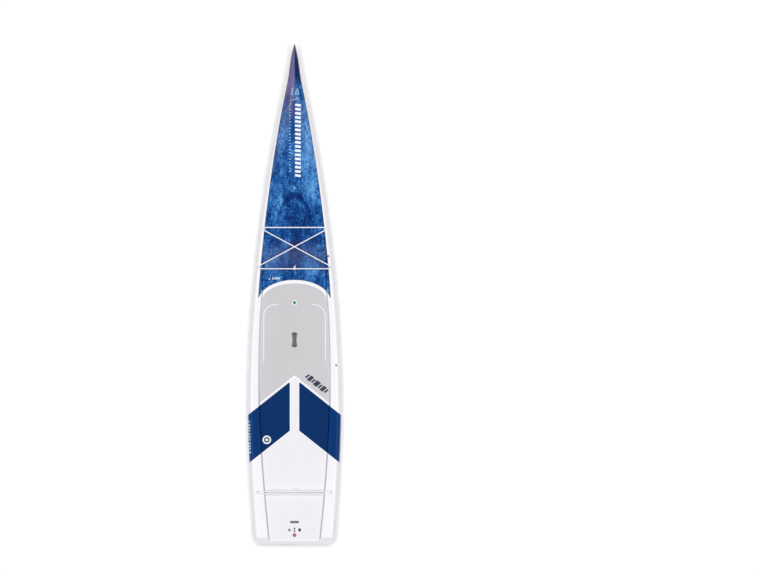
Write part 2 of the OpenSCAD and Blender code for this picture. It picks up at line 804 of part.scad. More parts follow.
// From the knot round the right middle post, across, and round the left forward post
function front_half(lift) =
    let (
        m = tie_pos(TIES[3]), f = tie_pos(TIES[0]), v = f - m,
        turn = atan2(v[1], v[0]) + asin(2 * wrap_r / norm([v[0], v[1]])) - 90,
        a = around(m, -90, turn, 8), b = around(f, turn + 180, 90, 8),
        start = [knot_gap, m[1] - wrap_r, m[2]]
    )
    concat([start], between(start, a[0], 6, 0), a, between(a[8], b[0], 10, lift), b);
function front_route() =
    let (
        lift = bungee_d / 2 + cord_gap,
        over = front_half(lift), under = reversed(mirrored(front_half(-lift)))
    )
    concat(over, between(over[len(over) - 1], under[0], 8, 0), under);
function tail_route() =
    let (
        r = tie_pos(TIES[5]), l = tie_pos(TIES[4]),
        a = around(r, 90, -90, 10), b = around(l, 270, 90, 10),
        start = [knot_x + knot_gap, a[0][1], r[2]], end = [knot_x - knot_gap, b[10][1], l[2]]
    )
    concat(
        [start], between(start, a[0], 6, 0), a, between(a[10], b[0], 12, 0),
        b, between(b[10], end, 6, 0), [end]
    );

// One ring of points across the route at its point i
function cord_ring(route, i) =
    let (
        n = len(route), ahead = route[min(n - 1, i + 1)] - route[max(0, i - 1)],
        along = ahead / norm(ahead), side = cross(along, [0, 0, 1]) / norm(cross(along, [0, 0, 1])),
        up = cross(side, along)
    )
    [for (k = [0 : cord_sides - 1]) let (a = 360 * k / cord_sides)
        route[i] + bungee_d / 2 * (cos(a) * side + sin(a) * up)];
module cord(route) {
    loft([for (i = [0 : len(route) - 1]) cord_ring(route, i)], cord_sides);
}

// The knot's body, with its point towards the nose
module knot(p) {
    color("aliceblue") translate(p) hull() {
        sphere(bungee_d * 1.1, $fn = 20);
        translate([0, 2 * bungee_d, 0]) sphere(bungee_d * 0.5, $fn = 20);
    }
}

module bungee_front() {
    color("aliceblue") cord(front_route());
}

module bungee_front_knot() {
    m = tie_pos(TIES[3]);
    knot([0, m[1] - wrap_r, m[2]]);
}

module bungee_tail() {
    color("aliceblue") cord(tail_route());
}

module bungee_tail_knot() {
    t = tie_pos(TIES[5]);
    knot([knot_x, t[1] + wrap_r, t[2]]);
}

deck_shell();
bottom_shell();
foam_core(-1);  // foam_core_left
foam_core(1);  // foam_core_right
stringer();
pad_front();
pad_band(-1);  // pad_band_left
pad_band(1);  // pad_band_right
pad_tail();
handle_cup();
handle_lip();
vent_housing();
vent_ring();
vent_plug();
vent_membrane();
leash_cup();
leash_pin();
fin_box();
fin_nut_plate();
paddle_insert(holder_fore_at);  // paddle_insert_fore
paddle_insert(holder_aft_at);  // paddle_insert_aft
nose_insert();
for (t = TIES)
    tie_post(t);
tie_inserts();
tie_screws();
bungee_front();
bungee_front_knot();
bungee_tail();
bungee_tail_knot();
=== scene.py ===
"""Touring stand up paddleboard, seen from straight above. Metres; +Y to the nose, +Z up."""

import bmesh
import bpy
from math import acos, asin, atan, atan2, cos, dist, exp, hypot, pi, radians, sin, sqrt, tan
from mathutils import Matrix, Vector


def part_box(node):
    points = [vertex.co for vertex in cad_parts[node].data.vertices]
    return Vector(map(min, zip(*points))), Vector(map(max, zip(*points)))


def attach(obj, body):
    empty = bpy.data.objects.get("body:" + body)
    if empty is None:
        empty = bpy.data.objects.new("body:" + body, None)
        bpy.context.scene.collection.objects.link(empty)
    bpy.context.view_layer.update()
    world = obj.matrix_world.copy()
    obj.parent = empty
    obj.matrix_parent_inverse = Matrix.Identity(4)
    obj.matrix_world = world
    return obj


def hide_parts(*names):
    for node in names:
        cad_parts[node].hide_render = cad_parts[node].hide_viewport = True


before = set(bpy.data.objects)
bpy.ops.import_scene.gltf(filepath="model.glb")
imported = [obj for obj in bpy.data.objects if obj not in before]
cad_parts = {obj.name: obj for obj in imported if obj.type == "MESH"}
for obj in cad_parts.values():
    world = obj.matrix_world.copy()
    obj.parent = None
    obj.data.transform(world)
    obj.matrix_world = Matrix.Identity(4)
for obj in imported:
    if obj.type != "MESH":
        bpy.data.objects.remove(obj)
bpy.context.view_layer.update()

scene = bpy.context.scene

# ---------------------------------------------------------------- camera and light
PIXEL = 0.00762  # metres of floor that one pixel of the photograph covers
camera = bpy.data.objects.new("camera", bpy.data.cameras.new("camera"))
scene.collection.objects.link(camera)
scene.camera = camera
camera.data.type = "ORTHO"
camera.data.ortho_scale = 760 * PIXEL
camera.location = (0.6515, 0.0686, 6.0)
camera.data.clip_end = 60
scene.view_settings.view_transform = "Standard"


def sun(name, energy, direction):
    data = bpy.data.lights.new(name, "SUN")
    data.energy, data.angle = energy, radians(20)
    obj = bpy.data.objects.new(name, data)
    obj.rotation_mode = "QUATERNION"
    obj.rotation_quaternion = Vector(direction).to_track_quat("-Z", "Y")
    obj.location = -Vector(direction).normalized() * 8
    scene.collection.objects.link(obj)


# a ring of soft lamps, none of them near the line from the board straight up to the camera
for i, power in enumerate((0.96, 0.88, 0.78, 0.86, 0.80, 0.84)):
    a = radians(125 + 60 * i)
    sun(f"ring_{i}", power * 0.56, (-cos(a) * 0.34, -sin(a) * 0.34, -1))
world = bpy.data.worlds.new("sky")
scene.world = world
world.use_nodes = True
world.node_tree.nodes["Background"].inputs[0].default_value = (0.965, 0.975, 1.0, 1)
world.node_tree.nodes["Background"].inputs[1].default_value = 0.20


# ---------------------------------------------------------------- node materials
def rgb(r, g, b):
    """Display colour 0 to 255 as linear light."""
    line = lambda v: v / 12.92 if v <= 0.04045 else ((v + 0.055) / 1.055) ** 2.4
    return tuple(line(c / 255) for c in (r, g, b)) + (1.0,)


class Val:
    """A number in a node tree, with arithmetic."""

    def __init__(self, g, socket):
        self.g, self.socket = g, socket

    def _op(self, kind, *others):
        node = self.g.add("ShaderNodeMath", operation=kind)
        for i, v in enumerate((self, *others)):
            self.g.put(v, node.inputs[i])
        return Val(self.g, node.outputs[0])

    __add__ = __radd__ = lambda a, b: a._op("ADD", b)
    __mul__ = __rmul__ = lambda a, b: a._op("MULTIPLY", b)
    __sub__ = lambda a, b: a._op("SUBTRACT", b)
    __rsub__ = lambda a, b: a._op("MULTIPLY", -1.0)._op("ADD", b)
    __truediv__ = lambda a, b: a._op("DIVIDE", b)
    __neg__ = lambda a: a._op("MULTIPLY", -1.0)
    __pow__ = lambda a, b: a._op("POWER", b)
    abs = lambda a: a._op("ABSOLUTE")
    frac = lambda a: a._op("FRACT")
    sin = lambda a: a._op("SINE")
    root = lambda a: a._op("SQRT")
    min = lambda a, b: a._op("MINIMUM", b)
    max = lambda a, b: a._op("MAXIMUM", b)

    def rise(self, low, high):
        """0 below low, 1 above high, smooth between."""
        node = self.g.add("ShaderNodeMapRange", interpolation_type="SMOOTHSTEP", clamp=True)
        self.g.put(self, node.inputs["Value"])
        node.inputs["From Min"].default_value = low
        node.inputs["From Max"].default_value = high
        return Val(self.g, node.outputs["Result"])

    def fall(self, low, high):
        return 1.0 - self.rise(low, high)

    def band(self, low, high, soft):
        """1 between low and high, with edges of width soft."""
        return self.rise(low - soft / 2, low + soft / 2) * self.fall(high - soft / 2, high + soft / 2)


class Mat:
    """A principled material built from expressions in the row frame."""

    def __init__(self, name, **plain):
        self.mat = bpy.data.materials.new(name)
        self.mat.use_nodes = True
        self.nodes, self.links = self.mat.node_tree.nodes, self.mat.node_tree.links
        self.nodes.clear()
        out = self.add("ShaderNodeOutputMaterial")
        self.bsdf = self.add("ShaderNodeBsdfPrincipled")
        self.links.new(self.bsdf.outputs[0], out.inputs[0])
        coord = self.add("ShaderNodeTexCoord")
        self.pos = coord.outputs["Object"]
        self.uv = coord.outputs["UV"]
        split = self.add("ShaderNodeSeparateXYZ")
        self.links.new(self.pos, split.inputs[0])
        self.x, self.y, self.z = (Val(self, split.outputs[i]) for i in range(3))
        tilt = self.add("ShaderNodeSeparateXYZ")
        self.links.new(coord.outputs["Normal"], tilt.inputs[0])
        self.nx = Val(self, tilt.outputs[0])
        for key, value in plain.items():
            self.bsdf.inputs[key.replace("_", " ").title().replace("Ior", "IOR")].default_value = value

    def add(self, kind, **settings):
        node = self.nodes.new(kind)
        for key, value in settings.items():
            setattr(node, key, value)
        return node

    def put(self, value, socket):
        if isinstance(value, Val):
            self.links.new(value.socket, socket)
        elif hasattr(value, "is_output"):
            self.links.new(value, socket)
        else:
            socket.default_value = value

    def vector(self, x, y, z):
        node = self.add("ShaderNodeCombineXYZ")
        for v, s in zip((x, y, z), node.inputs):
            self.put(v, s)
        return node.outputs[0]

    def noise(self, scale, detail=3.0, rough=0.5, distort=0.0, at=None):
        node = self.add("ShaderNodeTexNoise")
        self.put(self.pos if at is None else at, node.inputs["Vector"])
        for key, v in (("Scale", scale), ("Detail", detail), ("Roughness", rough), ("Distortion", distort)):
            node.inputs[key].default_value = v
        return Val(self, node.outputs[0])

    def mix(self, factor, a, b):
        node = self.add("ShaderNodeMix", data_type="RGBA")
        self.put(factor, node.inputs[0])
        self.put(a, node.inputs[6])
        self.put(b, node.inputs[7])
        return node.outputs[2]

    def ramp(self, factor, *stops):
        node = self.add("ShaderNodeValToRGB")
        band = node.color_ramp
        while len(band.elements) < len(stops):
            band.elements.new(0.5)
        for e, (place, colour) in zip(band.elements, stops):
            e.position, e.color = place, colour
        self.put(factor, node.inputs[0])
        return node.outputs[0]

    def set(self, colour, rough, height=None, depth=0.0005):
        self.put(colour, self.bsdf.inputs["Base Color"])
        self.put(rough, self.bsdf.inputs["Roughness"])
        if height is not None:
            bump = self.add("ShaderNodeBump")
            bump.inputs["Distance"].default_value = depth
            bump.inputs["Strength"].default_value = 1.0
            self.put(height, bump.inputs["Height"])
            self.links.new(bump.outputs[0], self.bsdf.inputs["Normal"])
        return self.mat


def moulded(name, colour, rough=0.4, grain=900, depth=0.00006, coat=0.0, vary=0.12):
    """Moulded plastic or rubber: fine grain, small drifts of tone and gloss."""
    m = Mat(name, coat_weight=coat, coat_roughness=0.12)
    drift = m.noise(35, 4, 0.6)
    fine = m.noise(grain, 3, 0.6)
    dark = tuple(c * (1 - vary) for c in colour[:3]) + (1,)
    light = tuple(min(1, c * (1 + vary) + 0.002) for c in colour[:3]) + (1,)
    return m.set(m.mix(drift, dark, light), drift * 0.12 + (rough - 0.06), fine, depth)


def metal(name, colour, rough=0.28):
    m = Mat(name, metallic=1.0)
    lines = m.noise(60, 3, 0.6, at=m.vector(m.x * 30.0, m.y * 30.0, m.z * 300.0))
    dark = tuple(c * 0.85 for c in colour[:3]) + (1,)
    return m.set(m.mix(lines, dark, colour), lines * 0.2 + (rough - 0.1), lines, 0.00002)


# ---------------------------------------------------------------- shape of the board, as in the CAD
deck_low, deck_high = (Vector(v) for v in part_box("deck_shell"))
TAIL, NOSE = deck_low.y, deck_high.y
LENGTH, HALF_W = NOSE - TAIL, deck_high.x
RAIL_Z, FLOOR_Z, PAD_Z = 0.150, 0.126, 0.131
WIDE_AT, FLOOR_END, FADE_END, CHINE_AT = 1.025, 2.020, 2.385, 0.505
KICK = 0.05


def clamp01(v):
    return max(0.0, min(1.0, v))


def smooth01(v):
    u = clamp01(v)
    return u * u * (3 - 2 * u)


def at(d):
    return TAIL + d


def outline(y):
    d = y - TAIL
    if d > WIDE_AT:
        u = (NOSE - y) / (LENGTH - WIDE_AT)
        return HALF_W * (1 - max(0.0, 1 - u) ** 1.92) + 0.003 * (1 - u)
    return HALF_W - 0.053 * clamp01((WIDE_AT - d) / WIDE_AT) ** 1.64


def half_width(y):
    return outline(y) - 0.026 * clamp01(1 - (y - TAIL) / 0.029)


def keel(y):
    q = 0.905 - (y - TAIL)
    kick = 0 if q <= 0 else KICK * q * q / 0.8 if q < 0.4 else KICK * (q - 0.2)
    return kick + 0.096 * clamp01((y - TAIL - 2.2) / (LENGTH - 2.2)) ** 2.2


def rail(y):
    return RAIL_Z + 0.014 * clamp01((y - TAIL - FLOOR_END) / (LENGTH - FLOOR_END)) ** 2


def apex(y):
    return keel(y) + 0.42 * (rail(y) - keel(y))


def shoulder(y):
    return outline(y) - min(0.034, 0.35 * outline(y))


def recess_left(y):
    return 1 - smooth01((y - TAIL - FLOOR_END) / (FADE_END - FLOOR_END))


def centre_z(y):
    top = rail(y) + 0.020 * clamp01((y - TAIL - 2.5) / (LENGTH - 2.5))
    return FLOOR_Z + (top - FLOOR_Z) * (1 - recess_left(y))


def wall_out(y):
    d = min(y - TAIL, 1.935)
    half = outline(at(d)) - (0.072 + 0.040 * clamp01(1 - d / 1.705))
    return min(half + 0.006, shoulder(y) - min(0.001, 0.1 * shoulder(y)))


def wall_in(y):
    return max(wall_out(y) - 0.012, 0.8 * wall_out(y))


def deck_top(y, x):
    x = max(x, min(0.002, 0.8 * wall_in(y)))  # the strip over the stringer is flat
    r, power = recess_left(y), 2 - 0.9 * clamp01((y - TAIL - 3.1) / (LENGTH - 3.1))
    run = wall_out(y) - wall_in(y)
    return rail(y) + (centre_z(y) - rail(y)) * (
        (1 - r) * (1 - min(1, x / shoulder(y)) ** power) + r * (1 - smooth01((x - wall_in(y)) / run))
    )


def deck_z(y, x):
    x, s, a = abs(x), shoulder(y), apex(y)
    if x <= s:
        return deck_top(y, x)
    k = min(1, (x - s) / (half_width(y) - s))
    return a + (rail(y) - a) * (1 - k**2.6) ** (1 / 2.6)


def flat_before_chine(y):
    d = y - TAIL
    share = 0.70 - 0.58 * smooth01((d - FLOOR_END) / (LENGTH - 0.4 - FLOOR_END))
    return outline(y) * (share + 0.24 * smooth01((1.225 - d) / (1.225 - CHINE_AT)))


def flat_half(y):
    d = y - TAIL
    if d > CHINE_AT:
        return flat_before_chine(y)
    return 0.155 + (flat_before_chine(at(CHINE_AT)) - 0.155) * d / CHINE_AT


def lower_power(y):
    d = y - TAIL
    return 2.2 - 0.5 * smooth01((d - FLOOR_END) / (LENGTH - FLOOR_END)) - 1.2 * smooth01((CHINE_AT - d) / 0.12)


def pad_side(y):
    return wall_in(y) - 0.0004


# ---------------------------------------------------------------- mesh helpers
def mesh_object(name, bm, material, body="board", sharp=32):
    """Makes a piece of a bmesh: smooth, with creases where faces meet at more than sharp degrees."""
    bmesh.ops.recalc_face_normals(bm, faces=bm.faces)
    for f in bm.faces:
        f.smooth = True
    for e in bm.edges:
        e.smooth = len(e.link_faces) == 2 and e.calc_face_angle(0) < radians(sharp)
    mesh = bpy.data.meshes.new(name)
    bm.to_mesh(mesh)
    bm.free()
    mesh.materials.append(material)
    obj = bpy.data.objects.new(name, mesh)
    scene.collection.objects.link(obj)
    if body:
        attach(obj, body)
    return obj


def loft(bm, rings, closed=True, caps=True):
    """Skins rings of points, each ring as long as the others."""
    rows = [[bm.verts.new(p) for p in r] for r in rings]
    m = len(rows[0])
    for a, b in zip(rows, rows[1:]):
        for j in range(m if closed else m - 1):
            k = (j + 1) % m
            bm.faces.new((a[j], a[k], b[k], b[j]))
    if caps:
        bm.faces.new(rows[0][::-1])
        bm.faces.new(rows[-1])
    return rows


def lathe(bm, profile, centre=(0, 0, 0), turn=None, steps=48):
    """Turns (radius, height) points about +Z. A radius of 0 closes an end in a point."""
    rings, c, turn = [], Vector(centre), turn or Matrix.Identity(3)
    made = []
    for r, h in profile:
        if r < 1e-9:
            made.append([bm.verts.new(c + turn @ Vector((0, 0, h)))])
        else:
            made.append([
                bm.verts.new(c + turn @ Vector((r * cos(a), r * sin(a), h)))
                for a in (2 * pi * i / steps for i in range(steps))
            ])
    for a, b in zip(made, made[1:]):
        for j in range(steps):
            k = (j + 1) % steps
            if len(a) == 1 and len(b) == 1:
                continue
            if len(a) == 1:
                bm.faces.new((a[0], b[j], b[k]))
            elif len(b) == 1:
                bm.faces.new((a[j], a[k], b[0]))
            else:
                bm.faces.new((a[j], a[k], b[k], b[j]))
    return made


def corner(before, p, after, radius, share, steps):
    """A rounded corner at p; the curve takes up to share of each side."""
    v = Vector(p[:2])
    if radius <= 0:
        return [tuple(v)]
    a, b = Vector(before[:2]) - v, Vector(after[:2]) - v
    la, lb = a.length, b.length
    a, b = a / la, b / lb
    half = acos(max(-1, min(1, a.dot(b)))) / 2
    back = min(radius / tan(half), la * share, lb * share)
    p0, p1 = v + a * back, v + b * back
    return [
        tuple((1 - t) ** 2 * p0 + 2 * t * (1 - t) * v + t * t * p1)
        for t in (k / steps for k in range(steps + 1))
    ]


def fillet(points, radius, steps=4):
    """An open profile's corners rounded: points are (u, v) or (u, v, radius)."""
    out = [tuple(points[0][:2])]
    for before, p, after in zip(points, points[1:], points[2:]):
        out += corner(before, p, after, p[2] if len(p) > 2 else radius, 0.49, steps)
    return out + [tuple(points[-1][:2])]


def round_corners(loop, radius, steps=5):
    """A closed loop of (x, y) with its corners rounded; radius is one number or one per point."""
    out = []
    for i, p in enumerate(loop):
        r = radius[i] if isinstance(radius, (list, tuple)) else radius
        out += corner(loop[i - 1], p, loop[(i + 1) % len(loop)], r, 0.45, steps)
    return out


def along(points):
    """How far each point lies along the line through them."""
    run = [0.0]
    for p, q in zip(points, points[1:]):
        run.append(run[-1] + dist(p, q))
    return run


def circle_loop(cx, cy, r, steps=64):
    turns = (2 * pi * i / steps for i in range(steps))
    return [(cx + r * cos(a), cy + r * sin(a)) for a in turns]


def slot_loop(w, l, cx=0.0, cy=0.0, steps=16):
    r = w / 2
    pts = []
    for s, a0 in ((1, 0), (-1, pi)):
        for i in range(steps + 1):
            a = a0 + pi * i / steps
            pts.append((cx + r * cos(a), cy + s * (l / 2 - r) + r * sin(a)))
    return pts


def box_loop(w, l, r, cx=0.0, cy=0.0):
    loop = [(cx - w / 2, cy - l / 2), (cx + w / 2, cy - l / 2), (cx + w / 2, cy + l / 2), (cx - w / 2, cy + l / 2)]
    return round_corners(loop, r, 8)


def flat_faces(bm, loops):
    """Fills the flat region between closed loops, holes left open."""
    edges = []
    for loop in loops:
        vs = [bm.verts.new((p[0], p[1], 0)) for p in loop]
        edges += [bm.edges.new((vs[i], vs[(i + 1) % len(vs)])) for i in range(len(vs))]
    return [g for g in bmesh.ops.triangle_fill(bm, use_beauty=True, edges=edges)["geom"] if isinstance(g, bmesh.types.BMFace)]


def prism(bm, loop, z0, z1, turn=None, centre=(0, 0, 0)):
    turn, c = turn or Matrix.Identity(3), Vector(centre)
    loft(bm, [[c + turn @ Vector((p[0], p[1], z)) for p in loop] for z in (z0, z1)])


def cut(obj, cutter_bm):
    """Takes the cutter away from obj and keeps the result as its mesh."""
    bmesh.ops.recalc_face_normals(cutter_bm, faces=cutter_bm.faces)
    mesh = bpy.data.meshes.new("cutter")
    cutter_bm.to_mesh(mesh)
    cutter_bm.free()
    tool = bpy.data.objects.new("cutter", mesh)
    scene.collection.objects.link(tool)
    mod = obj.modifiers.new("cut", "BOOLEAN")
    mod.operation, mod.solver, mod.object = "DIFFERENCE", "EXACT", tool
    graph = bpy.context.evaluated_depsgraph_get()
    made = bpy.data.meshes.new_from_object(obj.evaluated_get(graph))
    obj.modifiers.clear()
    old, obj.data = obj.data, made
    made.name = obj.name
    bpy.data.meshes.remove(old)
    bpy.data.objects.remove(tool)
    bpy.data.meshes.remove(mesh)
    for p in made.polygons:
        p.use_smooth = True
    crease(obj, 32)


def crease(obj, degrees):
    bm = bmesh.new()
    bm.from_mesh(obj.data)
    bmesh.ops.remove_doubles(bm, verts=bm.verts, dist=1e-6)
    bmesh.ops.dissolve_degenerate(bm, dist=1e-7, edges=bm.edges)
    for e in bm.edges:
        e.smooth = len(e.link_faces) == 2 and e.calc_face_angle(0) < radians(degrees)
    bm.to_mesh(obj.data)
    bm.free()


def shell(bm, up=0.0003, down=0.0003):
    """Gives an open surface thickness: up along its normals and down against them."""
    bm.normal_update()
    if sum(f.normal.z * f.calc_area() for f in bm.faces) < 0:
        bmesh.ops.reverse_faces(bm, faces=bm.faces[:])
        bm.normal_update()
    normals = {tuple(round(c, 6) for c in v.co): v.normal.copy() for v in bm.verts}
    made = bmesh.ops.extrude_face_region(bm, geom=bm.faces[:])
    top = {g for g in made["geom"] if isinstance(g, bmesh.types.BMVert)}
    for v in list(bm.verts):
        n = normals[tuple(round(c, 6) for c in v.co)]
        v.co += n * (up if v in top else -down)


def sheet(bm, rows):
    """An open grid of points; rows may meet in one place."""
    made = [[bm.verts.new(p) for p in r] for r in rows]
    for a, b in zip(made, made[1:]):
        for j in range(len(a) - 1):
            bm.faces.new((a[j], a[j + 1], b[j + 1], b[j]))


def printed(name, loops, material, height, up=0.00035, step=0.010, drop=0.0003):
    """A thin print on a surface: flat outlines cut into small faces and laid on height(y, x)."""
    bm = bmesh.new()
    flat_faces(bm, loops)
    xs, ys = [v.co.x for v in bm.verts], [v.co.y for v in bm.verts]
    for lows, highs, axis in ((min(xs), max(xs), 0), (min(ys), max(ys), 1)):
        for i in range(1, int((highs - lows) / step) + 1):
            place, way = Vector((0, 0, 0)), Vector((0, 0, 0))
            place[axis], way[axis] = lows + (highs - lows) * i / (int((highs - lows) / step) + 1), 1
            geom = bm.verts[:] + bm.edges[:] + bm.faces[:]
            bmesh.ops.bisect_plane(bm, geom=geom, plane_co=place, plane_no=way)
    for v in bm.verts:
        v.co.z = height(v.co.y, v.co.x)
    shell(bm, up, drop)
    obj = mesh_object(name, bm, material)
    return obj


# ---------------------------------------------------------------- materials
WHITE = rgb(243, 243, 246)


def laminate():
    """White sprayed paint with a polished coat."""
    g = Mat("laminate", specular_ior_level=0.35, coat_weight=0.25, coat_roughness=0.05)
    tone = g.noise(3.2, 2, 0.5)
    dust = g.noise(60, 5, 0.65)
    colour = g.mix(tone, rgb(238, 237, 242), rgb(243, 242, 246))
    colour = g.mix(dust.rise(0.60, 0.85) * 0.25, colour, rgb(228, 227, 234))
    # the walls of the standing recess face inwards; painted shade greys them, stronger towards the tail and lower down
    # each wall
    wall = (g.x * g.nx * -1.0).rise(0.0, 0.14) * g.y.fall(0.10, 0.16) * (g.y.fall(-0.90, -0.60) * 0.45 + 0.40)
    colour = g.mix(wall * (g.z.fall(0.124, 0.151) * 0.30 + 0.50), colour, rgb(172, 169, 176))
    peel = g.noise(420, 2, 0.5)
    wear = g.noise(22, 4, 0.6)
    return g.set(colour, wear * 0.10 + 0.20, peel, 0.00004)


def nose_print():
    """The printed nose: brushed blues, darker round a dome, violet and navy at the tip, where they also paint the
    ridge's light and shade: the left facet lighter, the right darker.
    """
    g = Mat("nose_print", specular_ior_level=0.14)
    ax = g.x.abs()
    flow = g.vector(g.x, g.y * 0.60, g.z * 0.2)
    large = g.noise(7.0, 4, 0.6, 0.9, at=flow)
    patch = g.noise(26, 5, 0.66, 1.6, at=flow)
    brush = g.noise(70, 6, 0.74, 3.2, at=flow)
    fine = g.noise(190, 4, 0.8, 1.6, at=flow)
    streak = g.noise(20, 4, 0.6, 1.0, at=g.vector(g.x * 3.0, g.y * 0.30, g.z * 0.2))
    v = large * 0.36 + patch * 0.52 + brush * 0.95 + fine * 0.75 + streak * 0.20 - 0.93
    side = (((g.x - 0.118) / 0.070) ** 2 + ((g.y - 0.98) / 0.34) ** 2).fall(0.1, 1.3)
    dome = ((g.x / 0.150) ** 2 + ((g.y - 0.42) / 0.36) ** 2).root()
    dark_dome = dome.fall(0.96, 1.00) * 0.04 + dome.band(0.86, 0.99, 0.05) * g.y.rise(0.52, 0.68) * 0.13
    seam = (((g.x - 0.01) / 0.055) ** 2 + ((g.y - 0.24) / 0.22) ** 2).fall(0.2, 1.6) * 0.13
    low_left = (g.x + 0.16).fall(-0.02, 0.05) * g.y.fall(0.10, 0.42) * 0.05
    light_low = (((g.x - 0.085) / 0.10) ** 2 + ((g.y - 0.17) / 0.12) ** 2).fall(0.1, 1.4) * 0.11
    left_glow = (((g.x + 0.13) / 0.06) ** 2 + ((g.y - 0.60) / 0.16) ** 2).fall(0.1, 1.4) * 0.09
    rows = g.y.band(0.15, 0.66, 0.2) * -0.045
    v = (v - 0.46) * 1.60 + 0.50 + side * 0.16 - dark_dome - seam - low_left + light_low + left_glow + rows
    blue = g.ramp(
        v,
        (0.18, rgb(0, 14, 66)),
        (0.34, rgb(0, 42, 108)),
        (0.48, rgb(6, 76, 150)),
        (0.62, rgb(44, 114, 184)),
        (0.84, rgb(116, 178, 234)),
    )
    wander = g.noise(16, 4, 0.6, 0.6) - 0.5
    violet = g.mix(g.noise(70, 5, 0.6, 1.5, at=g.vector(g.x, g.y * 0.25, 0.0)), rgb(78, 74, 124), rgb(132, 128, 172))
    navy = g.mix(g.noise(40, 5, 0.6, 2.0), rgb(8, 6, 62), rgb(30, 62, 122))
    low_violet = g.mix(g.noise(60, 5, 0.65, 2.4), rgb(30, 28, 82), rgb(100, 98, 150))
    # painted light and shade of the ridge at the tip, over the print: lighter violets on the left facet, dark navy on
    # the right
    lit_left_facet = (g.x + wander * 0.012).fall(-0.002, 0.002)
    blue = g.mix(lit_left_facet * (g.y + wander * 0.5).rise(1.30, 1.46) * 0.85, blue, low_violet)
    blue = g.mix(lit_left_facet * (g.y + wander * 0.25).rise(1.48, 1.60), blue, violet)
    blue = g.mix((1.0 - lit_left_facet) * (g.y + wander * 0.22).rise(1.58, 1.66), blue, navy)
    blue = g.mix(g.y.rise(1.82, 1.895) * 0.7, blue, rgb(58, 50, 70))
    # faint painted shade along the recess walls where they run out, and the dark outline of the print
    line = (ax - 0.2445 + (g.y - 0.03) * 0.02).abs().fall(0.0012, 0.0036) * g.y.fall(0.36, 0.42)
    blue = g.mix(line * 0.5, blue, rgb(2, 20, 60))
    u = (NOSE - g.y) / (LENGTH - WIDE_AT)
    half = (1.0 - (1.0 - u).max(0.0) ** 1.92) * HALF_W
    edge = half - ((NOSE - g.y) * 0.0165 + 0.012) * (NOSE - g.y).rise(0.02, 0.30) - ax
    over = (((g.x / 0.278) ** 2 + ((g.y + 0.063) / 0.170) ** 2).root() - 1.0) * 0.17
    outline_w = edge.min(over.max((g.y - 0.1075) * 4.0)).fall(0.0018, 0.0034)
    colour = g.mix(outline_w * 0.8, blue, rgb(84, 62, 66))
    return g.set(colour, brush * 0.06 + 0.12, g.noise(420, 2, 0.5), 0.00003)


def rail_print():
    g = Mat("rail_print", specular_ior_level=0.10)
    shade = g.noise(14, 3, 0.5) * 0.5 + g.x.abs().rise(0.30, 0.35) * 0.5
    colour = g.mix(shade, rgb(0, 48, 106), rgb(2, 60, 124))
    k = tan(radians(38.4))
    line = g.y + g.x.abs() * k
    rim = 1.0 - line.band(at(1.286) - 0.022 - 0.3705, at(1.286) - 0.0235, 0.001)
    return g.set(g.mix(rim * 0.7, colour, rgb(2, 20, 50)), g.noise(22, 4, 0.6) * 0.05 + 0.14, g.noise(420, 2, 0.5), 0.00003)


def ink(name, colour, rough=0.35):
    """Screen-printed ink, a little uneven."""
    g = Mat(name, specular_ior_level=0.25)
    speck, drift = g.noise(700, 3, 0.7), g.noise(40, 3, 0.6)
    thin = tuple(c * 0.88 + 0.012 for c in colour[:3]) + (1,)
    return g.set(g.mix(speck * 0.5 + drift * 0.5, thin, colour), speck * 0.1 + rough, speck, 0.00003)


def eva(name, base, side_highlight, pitch=0.0068, depth=0.0005):
    """Closed-cell foam: a brushed face cut with a fine diamond texture, and sides and groove walls painted lighter as a
    highlight.
    """
    g = Mat(name, specular_ior_level=0.08, sheen_weight=0.02, sheen_roughness=0.6)
    a, b = (g.x + g.y) / pitch, (g.x - g.y) / pitch
    cut_a, cut_b = (a.frac() - 0.5).abs(), (b.frac() - 0.5).abs()
    groove_line = cut_a.rise(0.36, 0.5).max(cut_b.rise(0.36, 0.5))
    cell = g.noise(1600, 3, 0.7)
    drift = g.noise(4.5, 4, 0.6, 0.3)
    streak = g.noise(30, 3, 0.6, at=g.vector(g.x, g.y * 0.12, g.z))
    light = tuple(min(1, c * 1.07) for c in base[:3]) + (1,)
    dark = tuple(c * 0.93 for c in base[:3]) + (1,)
    face = g.mix(drift * 0.5 + streak * 0.3 + cell * 0.2, dark, light)
    face = g.mix(groove_line * 0.35, face, tuple(c * 0.86 for c in base[:3]) + (1,))
    # painted highlight: the sides and groove walls below the top face take the lighter colour
    lower = g.z.fall(PAD_Z - 0.0006, PAD_Z - 0.0002)
    colour = g.mix(lower, face, side_highlight)
    height = (1.0 - groove_line * 0.8) * (1.0 - lower) + cell * 0.25
    return g.set(colour, drift * 0.1 + 0.62, height, depth)


def braid(name, pale, dark):
    """Woven cord cover. The UV map runs round the cord and along it in metres."""
    g = Mat(name, sheen_weight=0.05, sheen_roughness=0.5)
    split = g.add("ShaderNodeSeparateXYZ")
    g.links.new(g.uv, split.inputs[0])
    around, along = Val(g, split.outputs[0]), Val(g, split.outputs[1])
    turn = 2 * pi
    p = (around * 6.0 + along * 380.0) * turn
    q = (around * 6.0 - along * 380.0) * turn
    weave = p.sin() * q.sin()
    strand = weave * 0.5 + 0.5
    thread = g.noise(2600, 2, 0.6)
    colour = g.mix(strand * 0.75 + thread * 0.25, dark, pale)
    return g.set(colour, thread * 0.15 + 0.5, strand + thread * 0.3, 0.00014)


